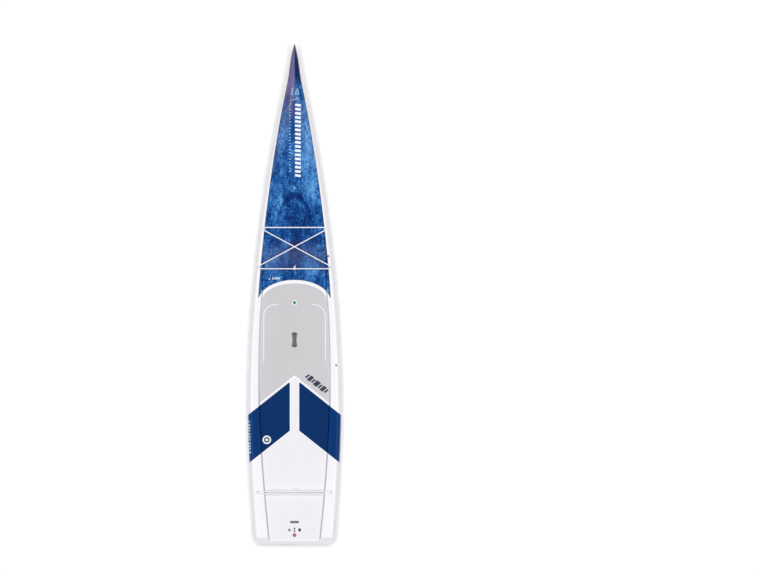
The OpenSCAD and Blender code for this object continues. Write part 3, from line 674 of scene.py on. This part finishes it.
M = {
    "laminate": laminate(),
    "eva_grey": eva("eva_grey", rgb(208, 205, 208), rgb(240, 239, 243)),
    "nose_print": nose_print(),
    "rail_print": rail_print(),
    "ink_white": ink("ink_white", rgb(238, 244, 250)),
    "ink_navy": ink("ink_navy", rgb(0, 16, 58)),
    "ink_black": ink("ink_black", rgb(12, 10, 16)),
    "ink_cyan": ink("ink_cyan", rgb(168, 206, 226)),
    "eva_navy": eva("eva_navy", rgb(0, 46, 101), rgb(0, 52, 112), depth=0.00035),
    "eva_pale": eva("eva_pale", rgb(241, 239, 243), rgb(246, 245, 248)),
    "cup": moulded("cup_plastic", rgb(126, 122, 126), 0.5, vary=0.06),
    "lip": moulded("lip_rubber", rgb(214, 209, 212), 0.6, vary=0.04),
    "vent": moulded("vent_plastic", rgb(206, 228, 220), 0.32, coat=0.3, vary=0.04),
    "vent_cap": moulded("vent_cap_plastic", rgb(62, 122, 108), 0.25),
    "ring": moulded("ring_rubber", rgb(28, 28, 30), 0.55),
    "membrane": moulded("membrane", rgb(58, 88, 80), 0.8, grain=3000, depth=0.0001),
    "red": moulded("red_plastic", rgb(190, 0, 22), 0.5, vary=0.05),
    "steel": metal("stainless", (0.62, 0.62, 0.60, 1)),
    "black": moulded("black_plastic", rgb(38, 38, 42), 0.45),
    "post": moulded("white_plastic", rgb(214, 217, 224), 0.45, vary=0.02),
    "cord": braid("bungee_cord", rgb(255, 255, 255), rgb(236, 240, 247)),
    "foam": moulded("core_foam", rgb(248, 244, 230), 0.9, grain=700, depth=0.0004, vary=0.03),
}


def wood():
    g = Mat("stringer_wood")
    grain = g.noise(30, 6, 0.65, 1.2, at=g.vector(g.x * 6.0, g.y * 0.4, g.z * 6.0))
    plies = (g.x / 0.0013).frac().rise(0.45, 0.55)
    colour = g.mix(grain * 0.7 + plies * 0.3, rgb(176, 130, 84), rgb(222, 186, 138))
    return g.set(colour, grain * 0.2 + 0.55, grain, 0.0002)


def box_plastic():
    """Fin box: black inside, painted like the bottom on the face that is flush with it."""
    g = Mat("fin_box_plastic", coat_weight=0.1, coat_roughness=0.3)
    plane = (0.705 + (NOSE - g.y) - LENGTH) * KICK  # height of the straight kick at this place
    outer = (g.z - plane).fall(0.0004, 0.0007)
    grain = g.noise(1100, 3, 0.6)
    black = g.mix(grain, rgb(24, 24, 28), rgb(40, 40, 46))
    return g.set(g.mix(outer, black, WHITE), grain * 0.15 + 0.32, grain, 0.00005)


M["wood"] = wood()
M["fin_box"] = box_plastic()


def takes_over(node):
    """Hides the CAD node; a piece made here shows in its place."""
    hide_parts(node)


def paint(node, material):
    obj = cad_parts[node]
    obj.data.materials.clear()
    obj.data.materials.append(material)


# ---------------------------------------------------------------- hull
def soft_min(a, b, k):
    h = clamp01(0.5 + 0.5 * (b - a) / k)
    return b + (a - b) * h - k * h * (1 - h)


def hull_ring(d):
    y = at(d)
    w, a, s, dn = half_width(y), apex(y), shoulder(y), NOSE - y
    s = min(s, w - 0.001)
    wo, wi = min(wall_out(y), s), min(wall_in(y), wall_out(y), s)
    e = 1 if dn >= 0.04 else sqrt(max(0.0, 1 - (1 - dn / 0.04) ** 2))
    edge = 0.003 * (1 - sqrt(1 - (1 - min(1, d / 0.003)) ** 2))
    cap = FLOOR_Z - 0.024 + 0.93 * d
    f, k, p = min(flat_half(y), w - 0.001), keel(y), lower_power(y)
    half = []

    def top(x, z):
        z = soft_min(z, max(cap, a), 0.003) - edge if d < 0.09 else z
        half.append((x, y, a + (z - a) * e))

    for i in range(21):
        top(wi * i / 20, deck_top(y, wi * i / 20))
    for i in range(1, 9):
        x = wi + (wo - wi) * i / 8
        top(x, deck_top(y, x))
    for i in range(1, 5):
        x = wo + (s - wo) * i / 4
        top(x, deck_top(y, x))
    for i in range(15, 0, -1):
        b = pi / 2 * i / 16
        top(s + (w - s) * cos(b) ** (2 / 2.6), a + (rail(y) - a) * sin(b) ** (2 / 2.6))
    half.append((w, y, a))
    for i in range(1, 16):
        b = pi / 2 * i / 16
        z = a + (k - a) * sin(b) ** (2 / p)
        half.append((f + (w - f) * cos(b) ** (2 / p), y, a + (min(z + edge, a) - a) * e))
    for i in range(12, -1, -1):
        half.append((f * i / 12, y, a + (k + edge - a) * e))
    return half + [(-x, yy, z) for x, yy, z in half[-2:0:-1]]


def hull_stations():
    ds = [0, 0.0004, 0.0010, 0.0018, 0.003] + [0.005 + 0.0025 * i for i in range(36)]
    while ds[-1] < LENGTH - 0.30:
        ds.append(ds[-1] + 0.0135)
    while ds[-1] < LENGTH - 0.05:
        ds.append(ds[-1] + 0.008)
    return ds + [LENGTH - 0.04 * (i / 9) ** 2 for i in range(9, 0, -1)] + [LENGTH - 0.00002]


bm = bmesh.new()
loft(bm, [hull_ring(d) for d in hull_stations()])
hull = mesh_object("hull", bm, M["laminate"], sharp=30)

TIE_AT = {"fore": (2.402, 0.033), "mid": (2.108, 0.029), "tail": (0.392, 0.051)}


def tie_base(row, side):
    d, inset = TIE_AT[row]
    x = side * (outline(at(d)) - inset)
    return Vector((x, at(d), deck_z(at(d), x)))


HANDLE = Vector((0, at(1.556), FLOOR_Z))
VENT = Vector((0, at(1.839), FLOOR_Z))
LEASH = Vector((0, at(0.068), PAD_Z))
FIN = Vector((0, at(0.2075), keel(at(0.2075))))
TILT = Matrix.Rotation(-atan(KICK), 3, "X")
HOLDERS = {
    n: Vector((outline(at(d)) - 0.033, at(d), deck_z(at(d), outline(at(d)) - 0.033)))
    for n, d in (("paddle_insert_fore", 2.194), ("paddle_insert_aft", 1.362))
}
NOSE_INSERT = Vector((0, at(2.713), centre_z(at(2.713))))

bm = bmesh.new()
prism(bm, box_loop(0.0644, 0.1254, 0.016, 0, HANDLE.y), FLOOR_Z - 0.0582, 0.2)
prism(bm, circle_loop(0, VENT.y, 0.0132), FLOOR_Z - 0.0202, 0.2)
prism(bm, circle_loop(0, LEASH.y, 0.0137), PAD_Z - 0.0262, 0.2)
for row in TIE_AT:
    for side in (-1, 1):
        p = tie_base(row, side)
        prism(bm, circle_loop(p.x, p.y, 0.0102), p.z - 0.0222, 0.25)
for p in list(HOLDERS.values()) + [NOSE_INSERT]:
    prism(bm, circle_loop(p.x, p.y, 0.0072), p.z - 0.0196, 0.25)
prism(bm, slot_loop(0.0324, 0.2774), -0.05, 0.0312, TILT, FIN)
# shallow tapered drain behind the fin box
drain = [(-0.0022, at(0.066)), (-0.0042, at(-0.01)), (0.0042, at(-0.01)), (0.0022, at(0.066))]
loft(bm, [
    [(x, y, z0 + (z1 if y < at(0.03) else z1 * 0.35)) for x, y in drain]
    for z0, z1 in ((-0.02, 0.0), (keel(at(0.033)), 0.0040))
])
cut(hull, bm)
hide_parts("deck_shell", "bottom_shell")

# ---------------------------------------------------------------- prints on the hull
K = tan(radians(38.4))
BAND_TOP = at(1.286) - 0.022
BAND_LOW = BAND_TOP - 0.372


def print_half(y):
    left = NOSE - y
    return half_width(y) - (0.012 + 0.0165 * left) * smooth01((left - 0.02) / 0.28)


def top_of_hull(y, x):
    dn = NOSE - y
    e = 1 if dn >= 0.04 else sqrt(max(0.0, 1 - (1 - dn / 0.04) ** 2))
    return apex(y) + (deck_z(y, x) - apex(y)) * e


def print_inner(y):
    return 0.278 * sqrt(max(0.0, 1 - ((y + 0.063) / 0.170) ** 2)) if y < 0.107 else 0.0


ys = [-0.063 + 0.170 * sin(radians(a)) for a in (-3 + 93 * i / 44 for i in range(45))]
while ys[-1] < NOSE - 0.045:
    ys.append(ys[-1] + 0.0135)
ys += [NOSE - 0.04 * (i / 9) ** 2 for i in range(9, 0, -1)]
for s, word in ((-1, "left"), (1, "right")):
    rows = []
    for y in ys:
        a, b = print_inner(y), min(print_half(y), half_width(y) - 0.0002)
        if b - a < 0.0030:
            continue
        wall = [wall_in(y) + (wall_out(y) - wall_in(y)) * i / 6 for i in range(7)]
        if a < wall[0] and b > wall[-1]:
            xs = [a + (wall[0] - a) * i / 10 for i in range(10)] + wall + [wall[-1] + (b - wall[-1]) * i / 6 for i in range(1, 7)]
        else:
            xs = [a + (b - a) * i / 22 for i in range(23)]
        rows.append([(s * x, y, top_of_hull(y, x)) for x in xs])
    bm = bmesh.new()
    sheet(bm, rows)
    shell(bm)
    piece = mesh_object(f"nose_print_{word}", bm, M["nose_print"], sharp=40)


def rail_point(c, t):
    """A point of the band line y = c - K x, from the pad's edge (t = 0) out over the rail to its side (t = 1)."""
    y = c - K * 0.3
    for _ in range(6):
        w, s, wo, wi = half_width(y), shoulder(y), wall_out(y), wall_in(y)
        if t < 0.35:
            x = wi - 0.0045 + (wo + 0.0005 - wi + 0.0045) * t / 0.35
        elif t < 0.6:
            x = wo + 0.0005 + (s - wo - 0.0005) * (t - 0.35) / 0.25
        else:
            x = s + (w - s) * cos(pi / 2 * (1 - (t - 0.6) / 0.4) * 0.995) ** (2 / 2.6)
        y = c - K * x
    b = pi / 2 * (1 - (t - 0.6) / 0.4) * 0.995
    z = deck_top(y, x) if t < 0.6 else apex(y) + (rail(y) - apex(y)) * sin(b) ** (2 / 2.6)
    return x, y, z


for s, word in ((-1, "left"), (1, "right")):
    bm = bmesh.new()
    sheet(bm, [
        [(s * x, y, z) for x, y, z in (rail_point(BAND_LOW + 0.372 * i / 40, j / 44) for j in range(45))]
        for i in range(41)
    ])
    shell(bm)
    mesh_object(f"rail_band_{word}", bm, M["rail_print"], sharp=40)


def moved(loop, cx, cy, turn=0.0):
    c, n = cos(turn), sin(turn)
    return [(cx + x * c - y * n, cy + x * n + y * c) for x, y in loop]


def bar(w, l, r=0.0012, lean=0.0):
    """An upright bar with rounded corners, its top leaning over by lean."""
    loop = [(-w / 2 - lean / 2, -l / 2), (w / 2 - lean / 2, -l / 2), (w / 2 + lean / 2, l / 2), (-w / 2 + lean / 2, l / 2)]
    return round_corners(loop, r, 4)


def ring_loops(cx, cy, outer, inner):
    return [circle_loop(cx, cy, outer, 40), circle_loop(cx, cy, inner, 40)]


# down the right of the ridge, a row of plain leaning bars; to the left a row of dashes
loops = [moved(bar(0.044, 0.0185, 0.004), 0.026, 1.4395 - 0.0316 * i, radians(-7)) for i in range(18)]
printed("nose_bars", loops, M["ink_white"], top_of_hull, up=0.0008)
loops = [moved(bar(0.014 - 0.005 * (i % 2), 0.0055, 0.0015), -0.035, 1.405 - 0.0235 * i) for i in range(21)]
printed("nose_dashes", loops, M["ink_cyan"], top_of_hull, up=0.0008)
sail = [(0.002, 1.520), (0.036, 1.520), (0.022, 1.572)]
inner = [(0.0085, 1.5245), (0.030, 1.5245), (0.0212, 1.558)]
loops = [round_corners(sail, 0.002, 3), round_corners(inner, 0.001, 3)]
loops += [moved(bar(0.016, 0.0045, 0.0015), -0.018, 1.566 - 0.0115 * i, radians(24)) for i in range(5)]
loops += [moved(bar(0.0035, 0.075, 0.001), 0.0, 1.483, radians(-76)), moved(bar(0.0035, 0.040, 0.001), -0.034, 1.442, radians(-28))]
printed("nose_sail", loops, M["ink_cyan"], top_of_hull, up=0.0008)
loops = [moved(bar(0.0045, 0.017, 0.001, 0.003), -0.166 + 0.0100 * i, 0.119) for i in range(6)]
loops += [circle_loop(-0.192, 0.114, 0.005, 24)]
printed("small_mark", loops, M["ink_white"], top_of_hull, up=0.0008)


def rail_side(y, b):
    """A point of the left rail's upper side; b is the angle up from the widest line."""
    w, s = half_width(y), shoulder(y)
    x = s + (w - s) * cos(b) ** (2 / 2.6)
    return (-x, y, apex(y) + (rail(y) - apex(y)) * sin(b) ** (2 / 2.6))


bm = bmesh.new()
for i in range(11):
    top, low = -0.967 - 0.0232 * i, -0.967 - 0.0232 * i - (0.0155 if i % 3 else 0.0100)
    sheet(bm, [
        [rail_side(top + (low - top) * j / 4, radians(24 + 42 * k / 12)) for k in range(13)] for j in range(5)
    ])
shell(bm, up=0.0007, down=0.0001)
mesh_object("rail_dashes", bm, M["ink_cyan"], sharp=50)

# ---------------------------------------------------------------- deck pads
def meets(y0):
    y = y0
    for _ in range(6):
        x = pad_side(y)
        y = y0 - K * x
    return x, y


def pad_edge(y1, y2, n):
    return [(pad_side(y1 + (y2 - y1) * i / n), y1 + (y2 - y1) * i / n) for i in range(1, n)]


def both(half):
    return half + [(-x, y) for x, y in reversed(half) if x > 1e-6]


def pad(name, loops, material, node):
    """A foam pad: flat, with its top edges rounded over."""
    bm = bmesh.new()
    faces = flat_faces(bm, loops)
    for v in bm.verts:
        v.co.z = FLOOR_Z
    made = bmesh.ops.extrude_face_region(bm, geom=faces)
    top = [g for g in made["geom"] if isinstance(g, bmesh.types.BMVert)]
    for v in top:
        v.co.z = PAD_Z
    lifted = set(top)
    bm.normal_update()
    rim = [e for e in bm.edges if e.verts[0] in lifted and e.verts[1] in lifted
           and len(e.link_faces) == 2 and abs(e.calc_face_angle(0) - pi / 2) < 0.2]
    bmesh.ops.bevel(bm, geom=rim, offset=0.0013, segments=3, affect="EDGES", profile=0.5)
    obj = mesh_object(name, bm, material, sharp=50)
    takes_over(node)
    return obj


def hourglass(grow):
    """The finger slot's outline, grown by grow."""
    w, l, waist, corner_r = 0.038, 0.111, 0.029, 0.012
    sag, chord = (w - waist) / 2, l - 2 * corner_r
    big = chord * chord / (8 * sag) + sag / 2
    cx, r = waist / 2 + big, big - grow
    bend = asin((chord / 2) / big)
    waisted = [(cx + r * cos(a), HANDLE.y - r * sin(a)) for a in (pi + bend * (1 - i / 12) for i in range(25))]
    waisted.reverse()
    turns = [
        (w / 2 - corner_r + (corner_r + grow) * cos(a), l / 2 - corner_r + (corner_r + grow) * sin(a))
        for a in (pi / 2 * i / 12 for i in range(1, 13))
    ]
    right = [(x, HANDLE.y - y) for x, y in reversed(turns)] + waisted + [(x, HANDLE.y + y) for x, y in turns]
    return right + [(-x, y) for x, y in reversed(right)]


foot = at(1.985) - 0.126
side = meets(at(1.286))
half = [(pad_side(foot) * cos(radians(a)), foot + 0.126 * sin(radians(a))) for a in range(90, -1, -3)]
half += pad_edge(foot, side[1], 16) + [side, (0, at(1.286))]
front = pad(
    "pad_front_foam",
    [both(half), hourglass(0.0027), circle_loop(0, VENT.y, 0.022)],
    M["eva_grey"],
    "pad_front",
)

# the two moulded lines that frame the standing area: round-bottomed grooves that run out at both ends
bm = bmesh.new()
line_top, line_x, line_r = VENT.y - 0.014, pad_side(VENT.y - 0.014) - 0.011, 0.088
for s in (-1, 1):
    path = [(0.109 + (line_x - line_r - 0.109) * i / 6, line_top) for i in range(7)]
    path += [
        (line_x - line_r + line_r * sin(a), line_top - line_r + line_r * cos(a))
        for a in (pi / 2 * i / 16 for i in range(1, 17))
    ]
    path += [(line_x, line_top - line_r - (0.47 - line_r) * i / 16) for i in range(1, 17)]
    rings, n = [], len(path)
    run = along(path)
    for i, (px, py) in enumerate(path):
        q0, q1 = path[max(0, i - 1)], path[min(n - 1, i + 1)]
        t = Vector((q1[0] - q0[0], q1[1] - q0[1])).normalized()
        side_v = Vector((t.y, -t.x))
        ends = min(smooth01(run[i] / 0.03), smooth01((run[-1] - run[i]) / 0.07))
        lift = 0.0030 + 0.0026 * (1 - ends)
        rings.append([
            (s * (px + side_v.x * 0.005 * cos(b)), py + side_v.y * 0.005 * cos(b), PAD_Z + lift + 0.005 * sin(b))
            for b in (2 * pi * k / 20 for k in range(20))
        ])
    loft(bm, rings)
cut(front, bm)

for s, word in ((-1, "left"), (1, "right")):
    t, l = meets(BAND_TOP), meets(BAND_LOW)
    loop = [(0.036, BAND_TOP - K * 0.036), t] + pad_edge(t[1], l[1], 10) + [l, (0.036, BAND_LOW - K * 0.036)]
    radii = [0.007, 0.003] + [0] * 9 + [0.003, 0.008]
    loop = [(s * x, y) for x, y in round_corners(loop, radii)]
    pad(f"pad_band_{word}_foam", [loop], M["eva_navy"], f"pad_band_{word}")

tail_top = BAND_LOW - 0.013
side = meets(tail_top)
end = at(0.038)
half = [(0, BAND_TOP), (0.023, BAND_TOP - K * 0.023), (0.023, tail_top - K * 0.023), side]
half += pad_edge(side[1], end, 16) + [(pad_side(end), end)]
pad("pad_tail_foam", [both(half), circle_loop(0, LEASH.y, 0.0137)], M["eva_pale"], "pad_tail")

# prints on the pads
on_pad = lambda y, x: PAD_Z
slant = -radians(38.4)
widths = (0.014, 0.028, 0.014, 0.036, 0.014, 0.028, 0.014)
loops, run = [], -0.098
for i, w in enumerate(widths):
    tall = 0.046 if i % 2 else 0.036
    loops.append(moved(moved(bar(w, tall, 0.003, 0.010), run + w / 2, 0.0), 0.170, -0.683, slant))
    run += w + 0.0080
printed("size_bars", loops, M["ink_navy"], on_pad, up=0.0006, step=0.03)
disc = circle_loop(-0.211, -1.111, 0.0325, 64)
printed("disc", [disc], M["ink_white"], on_pad, up=0.0005, step=0.03)
loops = ring_loops(-0.211, -1.111, 0.0215, 0.0105)
printed("disc_ring", loops, M["ink_navy"], lambda y, x: PAD_Z + 0.0005, up=0.0004, step=0.03)
loops = [moved(bar(0.0092, 0.018, 0.002, 0.003), -0.0275 + 0.0110 * i, -1.738) for i in range(6)]
loops += [circle_loop(0, -1.787, 0.0068, 24), circle_loop(0, -1.8055, 0.0068, 24)]
loops += ring_loops(-0.039, -1.798, 0.0100, 0.0040) + [moved(bar(0.019, 0.023, 0.002), 0.039, -1.798)]
printed("tail_marks", loops, M["ink_black"], on_pad, up=0.0006, step=0.03)

# ---------------------------------------------------------------- carry handle
bm = bmesh.new()
inner = hourglass(0.0)
outer = hourglass(0.0025)
rings = []
for t, z in (
    (0, 0.1202), (0, 0.1285), (0.12, 0.1300), (0.36, 0.1309),
    (0.64, 0.1309), (0.88, 0.1300), (1, 0.1285), (1, 0.1202),
):
    rings.append([(i[0] + (o[0] - i[0]) * t, i[1] + (o[1] - i[1]) * t, z) for i, o in zip(inner, outer)])
around_lip = loft(bm, rings, caps=False)
for j in range(len(inner)):
    k = (j + 1) % len(inner)
    bm.faces.new((around_lip[-1][j], around_lip[-1][k], around_lip[0][k], around_lip[0][j]))
lip = mesh_object("handle_lip_rubber", bm, M["lip"], sharp=40)
takes_over("handle_lip")
paint("handle_cup", M["cup"])

# ---------------------------------------------------------------- air vent
bm = bmesh.new()
lathe(bm, fillet([
    (0.00605, -0.0198), (0.0128, -0.0198), (0.0128, 0.0001), (0.0199, 0.0001), (0.0199, 0.0024, 0.0016),
    (0.0184, 0.0030, 0.003), (0.0122, 0.0030, 0.001), (0.0115, 0.0018, 0.0006), (0.0115, -0.0010),
    (0.00605, -0.0010), (0.00605, -0.0198),
], 0.0004), VENT, steps=72)
vent_base = mesh_object("vent_base", bm, M["vent"])
takes_over("vent_housing")

bm = bmesh.new()
top_z, low_z = 0.0050, -0.0100
profile = fillet([
    (0.0020, low_z), (0.0060, low_z), (0.0060, 0.0010), (0.0108, 0.0010), (0.0108, top_z, 0.0014), (0.0046, top_z, 0.0006),
    (0.0046, top_z - 0.0019), (0.0020, top_z - 0.0019), (0.0020, low_z),
], 0.0003)
lathe(bm, profile, VENT, steps=72)
vent_cap = mesh_object("vent_plug_cap", bm, M["vent_cap"], "vent_cap")
bm = bmesh.new()
prism(bm, [(-0.02, VENT.y - 0.00125), (0.02, VENT.y - 0.00125), (0.02, VENT.y + 0.00125), (-0.02, VENT.y + 0.00125)],
      FLOOR_Z + top_z - 0.0012, FLOOR_Z + top_z + 0.01)
cut(vent_cap, bm)
bm = bmesh.new()
for i in range(18):
    a = 2 * pi * i / 18
    prism(bm, circle_loop(0.0112 * cos(a), VENT.y + 0.0112 * sin(a), 0.0008, 12), FLOOR_Z + 0.0018, FLOOR_Z + 0.02)
cut(vent_cap, bm)
takes_over("vent_plug")
paint("vent_ring", M["ring"])
paint("vent_membrane", M["membrane"])

# ---------------------------------------------------------------- leash plug
bm = bmesh.new()
lathe(bm, fillet([
    (0, -0.026), (0.0135, -0.026), (0.0135, 0, 0.0014), (0.0105, 0, 0.0010), (0.0105, -0.023, 0.003), (0, -0.023),
], 0.001), LEASH, steps=72)
cup = mesh_object("leash_cup_red", bm, M["red"])
takes_over("leash_cup")
paint("leash_pin", M["steel"])

# ---------------------------------------------------------------- inserts
for node, p in list(HOLDERS.items()) + [("nose_insert", NOSE_INSERT)]:
    white = node == "nose_insert"
    bm = bmesh.new()
    ribs = []
    for i in range(11):
        h = -0.0144 + 0.0013 * i
        ribs += [(0.00300, h), (0.00285, h + 0.0003), (0.00285, h + 0.0007), (0.00300, h + 0.0010)]
    body = [(0, -0.0194), (0.0070, -0.0194), (0.0070, 0.0002, 0.0004), (0.0064, 0.0006, 0.0004), (0.0040, 0.0006, 0.0003)]
    lathe(bm, fillet(body, 0.0002) + [(0.00335, 0.0001)] + ribs[::-1] + [(0.00300, -0.0150), (0, -0.0150)], p, steps=48)
    piece = mesh_object(node + "_bush", bm, M["post"] if white else M["black"])
    takes_over(node)

# ---------------------------------------------------------------- tie-down posts
TIES = [
    (row, word, tie_base(row, s) + Vector((0, 0, 0.002)))
    for row in TIE_AT for s, word in ((-1, "left"), (1, "right"))
]
for row, word, p in TIES:
    bm = bmesh.new()
    lathe(bm, fillet([
        (0.0028, 0), (0.0090, 0), (0.0090, 0.0016, 0.0008), (0.0062, 0.0024, 0.0008), (0.0060, 0.0040, 0.002),
        (0.0060, 0.0098, 0.002), (0.0064, 0.0108, 0.0006), (0.0090, 0.0112, 0.0006), (0.0090, 0.0130, 0.0012),
        (0.0050, 0.0135, 0.001), (0.0028, 0.0135), (0.0028, 0),
    ], 0.0004), p, steps=64)
    post = mesh_object(f"post_{row}_{word}", bm, M["post"])
    takes_over(f"tie_post_{row}_{word}")

# screws: pan heads with a hex socket, one piece for all six
bm = bmesh.new()
hexes = bmesh.new()
for _, _, p in TIES:
    lathe(bm, fillet([
        (0, -0.012), (0.0025, -0.012), (0.0025, 0.0136), (0.0045, 0.0136), (0.0045, 0.0150, 0.0012),
        (0.0030, 0.0161, 0.001), (0, 0.0161),
    ], 0.0003), p, steps=40)
    prism(hexes, circle_loop(p.x, p.y, 0.0017, 6), p.z + 0.0145, p.z + 0.03)
screws = mesh_object("tie_screw_set", bm, M["steel"])
cut(screws, hexes)
takes_over("tie_screws")
paint("tie_inserts", M["post"])

# ---------------------------------------------------------------- bungees
R, WRAP, LIFT = 0.0043, 0.0102, 0.0083


def tie_point(row, side):
    return tie_base(row, side) + Vector((0, 0, LIFT))


def around(c, a1, a2, n):
    return [c + WRAP * Vector((cos(a), sin(a), 0)) for a in (a1 + (a2 - a1) * i / n for i in range(n + 1))]


def between(p, q, n, lift=0.0):
    """Points between two ends; lift raises the middle in a low smooth hump."""
    out = []
    for i in range(1, n):
        k = i / n
        hump = exp(-(((k - 0.5) / 0.13) ** 2))
        out.append(p.lerp(q, k) + Vector((0, 0, lift * hump)))
    return out


def tube(name, points, radius, material):
    """A round cord through points, with a UV map: round it, and along it in metres."""
    sides, bm = 16, bmesh.new()
    uv = bm.loops.layers.uv.new("along")
    run = along(points)
    rings = []
    for i, p in enumerate(points):
        t = (points[min(i + 1, len(points) - 1)] - points[max(i - 1, 0)]).normalized()
        u = t.cross(Vector((0, 0, 1))).normalized()
        v = u.cross(t)
        r = radius[i] if isinstance(radius, list) else radius
        rings.append([bm.verts.new(p + r * (cos(a) * u + sin(a) * v)) for a in (2 * pi * k / sides for k in range(sides))])
    for i, (a, b) in enumerate(zip(rings, rings[1:])):
        for j in range(sides):
            k = (j + 1) % sides
            f = bm.faces.new((a[j], a[k], b[k], b[j]))
            for loop, (cu, cv) in zip(f.loops, ((j, i), (j + 1, i), (j + 1, i + 1), (j, i + 1))):
                loop[uv].uv = (cu / sides, run[cv])
    bm.faces.new(rings[0][::-1])
    bm.faces.new(rings[-1])
    return mesh_object(name, bm, material, sharp=60)


def front_half(lift):
    m, f = tie_point("mid", 1), tie_point("fore", -1)
    v = f - m
    turn = atan2(v.y, v.x) + asin(2 * WRAP / hypot(v.x, v.y)) - pi / 2
    a, b = around(m, -pi / 2, turn, 18), around(f, turn + pi, pi / 2, 18)
    start = Vector((0.006, m.y - WRAP, m.z))
    return [start] + between(start, a[0], 24) + a + between(a[-1], b[0], 60, lift) + b


lift = R + 0.0003
over = front_half(lift)
under = [Vector((-p.x, p.y, p.z)) for p in reversed(front_half(-lift))]
front_cord = tube("cord_front", over + between(over[-1], under[0], 40) + under, R, M["cord"])
takes_over("bungee_front")

r_post, l_post = tie_point("tail", 1), tie_point("tail", -1)
a, b = around(r_post, pi / 2, -pi / 2, 20), around(l_post, 1.5 * pi, pi / 2, 20)
start, stop = Vector((0.019, a[0].y, r_post.z)), Vector((0.007, b[-1].y, l_post.z))
route = [start] + between(start, a[0], 24) + a + between(a[-1], b[0], 50) + b + between(b[-1], stop, 24) + [stop]
tail_cord = tube("cord_tail", route, R, M["cord"])
takes_over("bungee_tail")


def knot(name, c, node, tail_to):
    """A knot drawn down on both ends of the cord, its point and a short tail towards the nose."""
    bm = bmesh.new()
    turn = Matrix.Rotation(-pi / 2, 3, "X")  # profile's height runs along +Y
    lathe(bm, fillet([
        (0, -0.0090), (0.0066, -0.0084, 0.003), (0.0096, -0.0040, 0.004), (0.0096, 0.0030, 0.004), (0.0080, 0.0090, 0.004),
        (0.0054, 0.0150, 0.003), (0.0028, 0.0192, 0.001), (0, 0.0198),
    ], 0.001), c, turn, steps=32)
    for v in bm.verts:  # the cord's turns show as shallow waves round the knot
        h = v.co.y - c.y
        away = Vector((v.co.x - c.x, 0, v.co.z - c.z))
        ang = atan2(away.z, away.x)
        k = 1 - 0.07 * (0.5 + 0.5 * cos(ang * 2 + h * 700))
        v.co.x, v.co.z = c.x + away.x * k, c.z + away.z * k
    uv = bm.loops.layers.uv.new("along")
    for f in bm.faces:
        for loop in f.loops:
            p = loop.vert.co - c
            loop[uv].uv = (atan2(p.z, p.x) / (2 * pi), p.y)
    obj = mesh_object(name, bm, M["cord"], sharp=60)
    takes_over(node)
    pts = [c + Vector((tail_to[0] * t * t, 0.014 + tail_to[1] * t, -0.001 * t)) for t in (i / 8 for i in range(9))]
    end = tube(name + "_end", pts, [0.0030] * 7 + [0.0026, 0.0018], M["cord"])


m = tie_point("mid", 1)
knot("knot_front", Vector((0, m.y - WRAP, m.z)), "bungee_front_knot", (0.010, 0.012))
knot("knot_tail", Vector((0.013, r_post.y + WRAP, r_post.z)), "bungee_tail_knot", (0.004, 0.008))

# ---------------------------------------------------------------- what the CAD shows as it is
paint("fin_box", M["fin_box"])
paint("fin_nut_plate", M["steel"])
for node in ("foam_core_left", "foam_core_right"):
    paint(node, M["foam"])
paint("stringer", M["wood"])

# ---------------------------------------------------------------- floor
bm = bmesh.new()
for p in ((-30, -30), (30, -30), (30, 30), (-30, 30)):
    bm.verts.new((p[0], p[1], -0.0002))
bm.faces.new(bm.verts)
g = Mat("floor_paint")
g.set(g.mix(g.noise(0.8, 3, 0.5), rgb(252, 252, 253), rgb(254, 254, 255)), g.noise(2.0) * 0.05 + 0.75)
back = g.add("ShaderNodeNewGeometry")
clear = g.add("ShaderNodeBsdfTransparent")
pick = g.add("ShaderNodeMixShader")
g.links.new(back.outputs["Backfacing"], pick.inputs[0])
g.links.new(g.bsdf.outputs[0], pick.inputs[1])
g.links.new(clear.outputs[0], pick.inputs[2])
out = next(n for n in g.nodes if n.type == "OUTPUT_MATERIAL")
g.links.new(pick.outputs[0], out.inputs[0])
floor = mesh_object("floor", bm, g.mat, body=None)
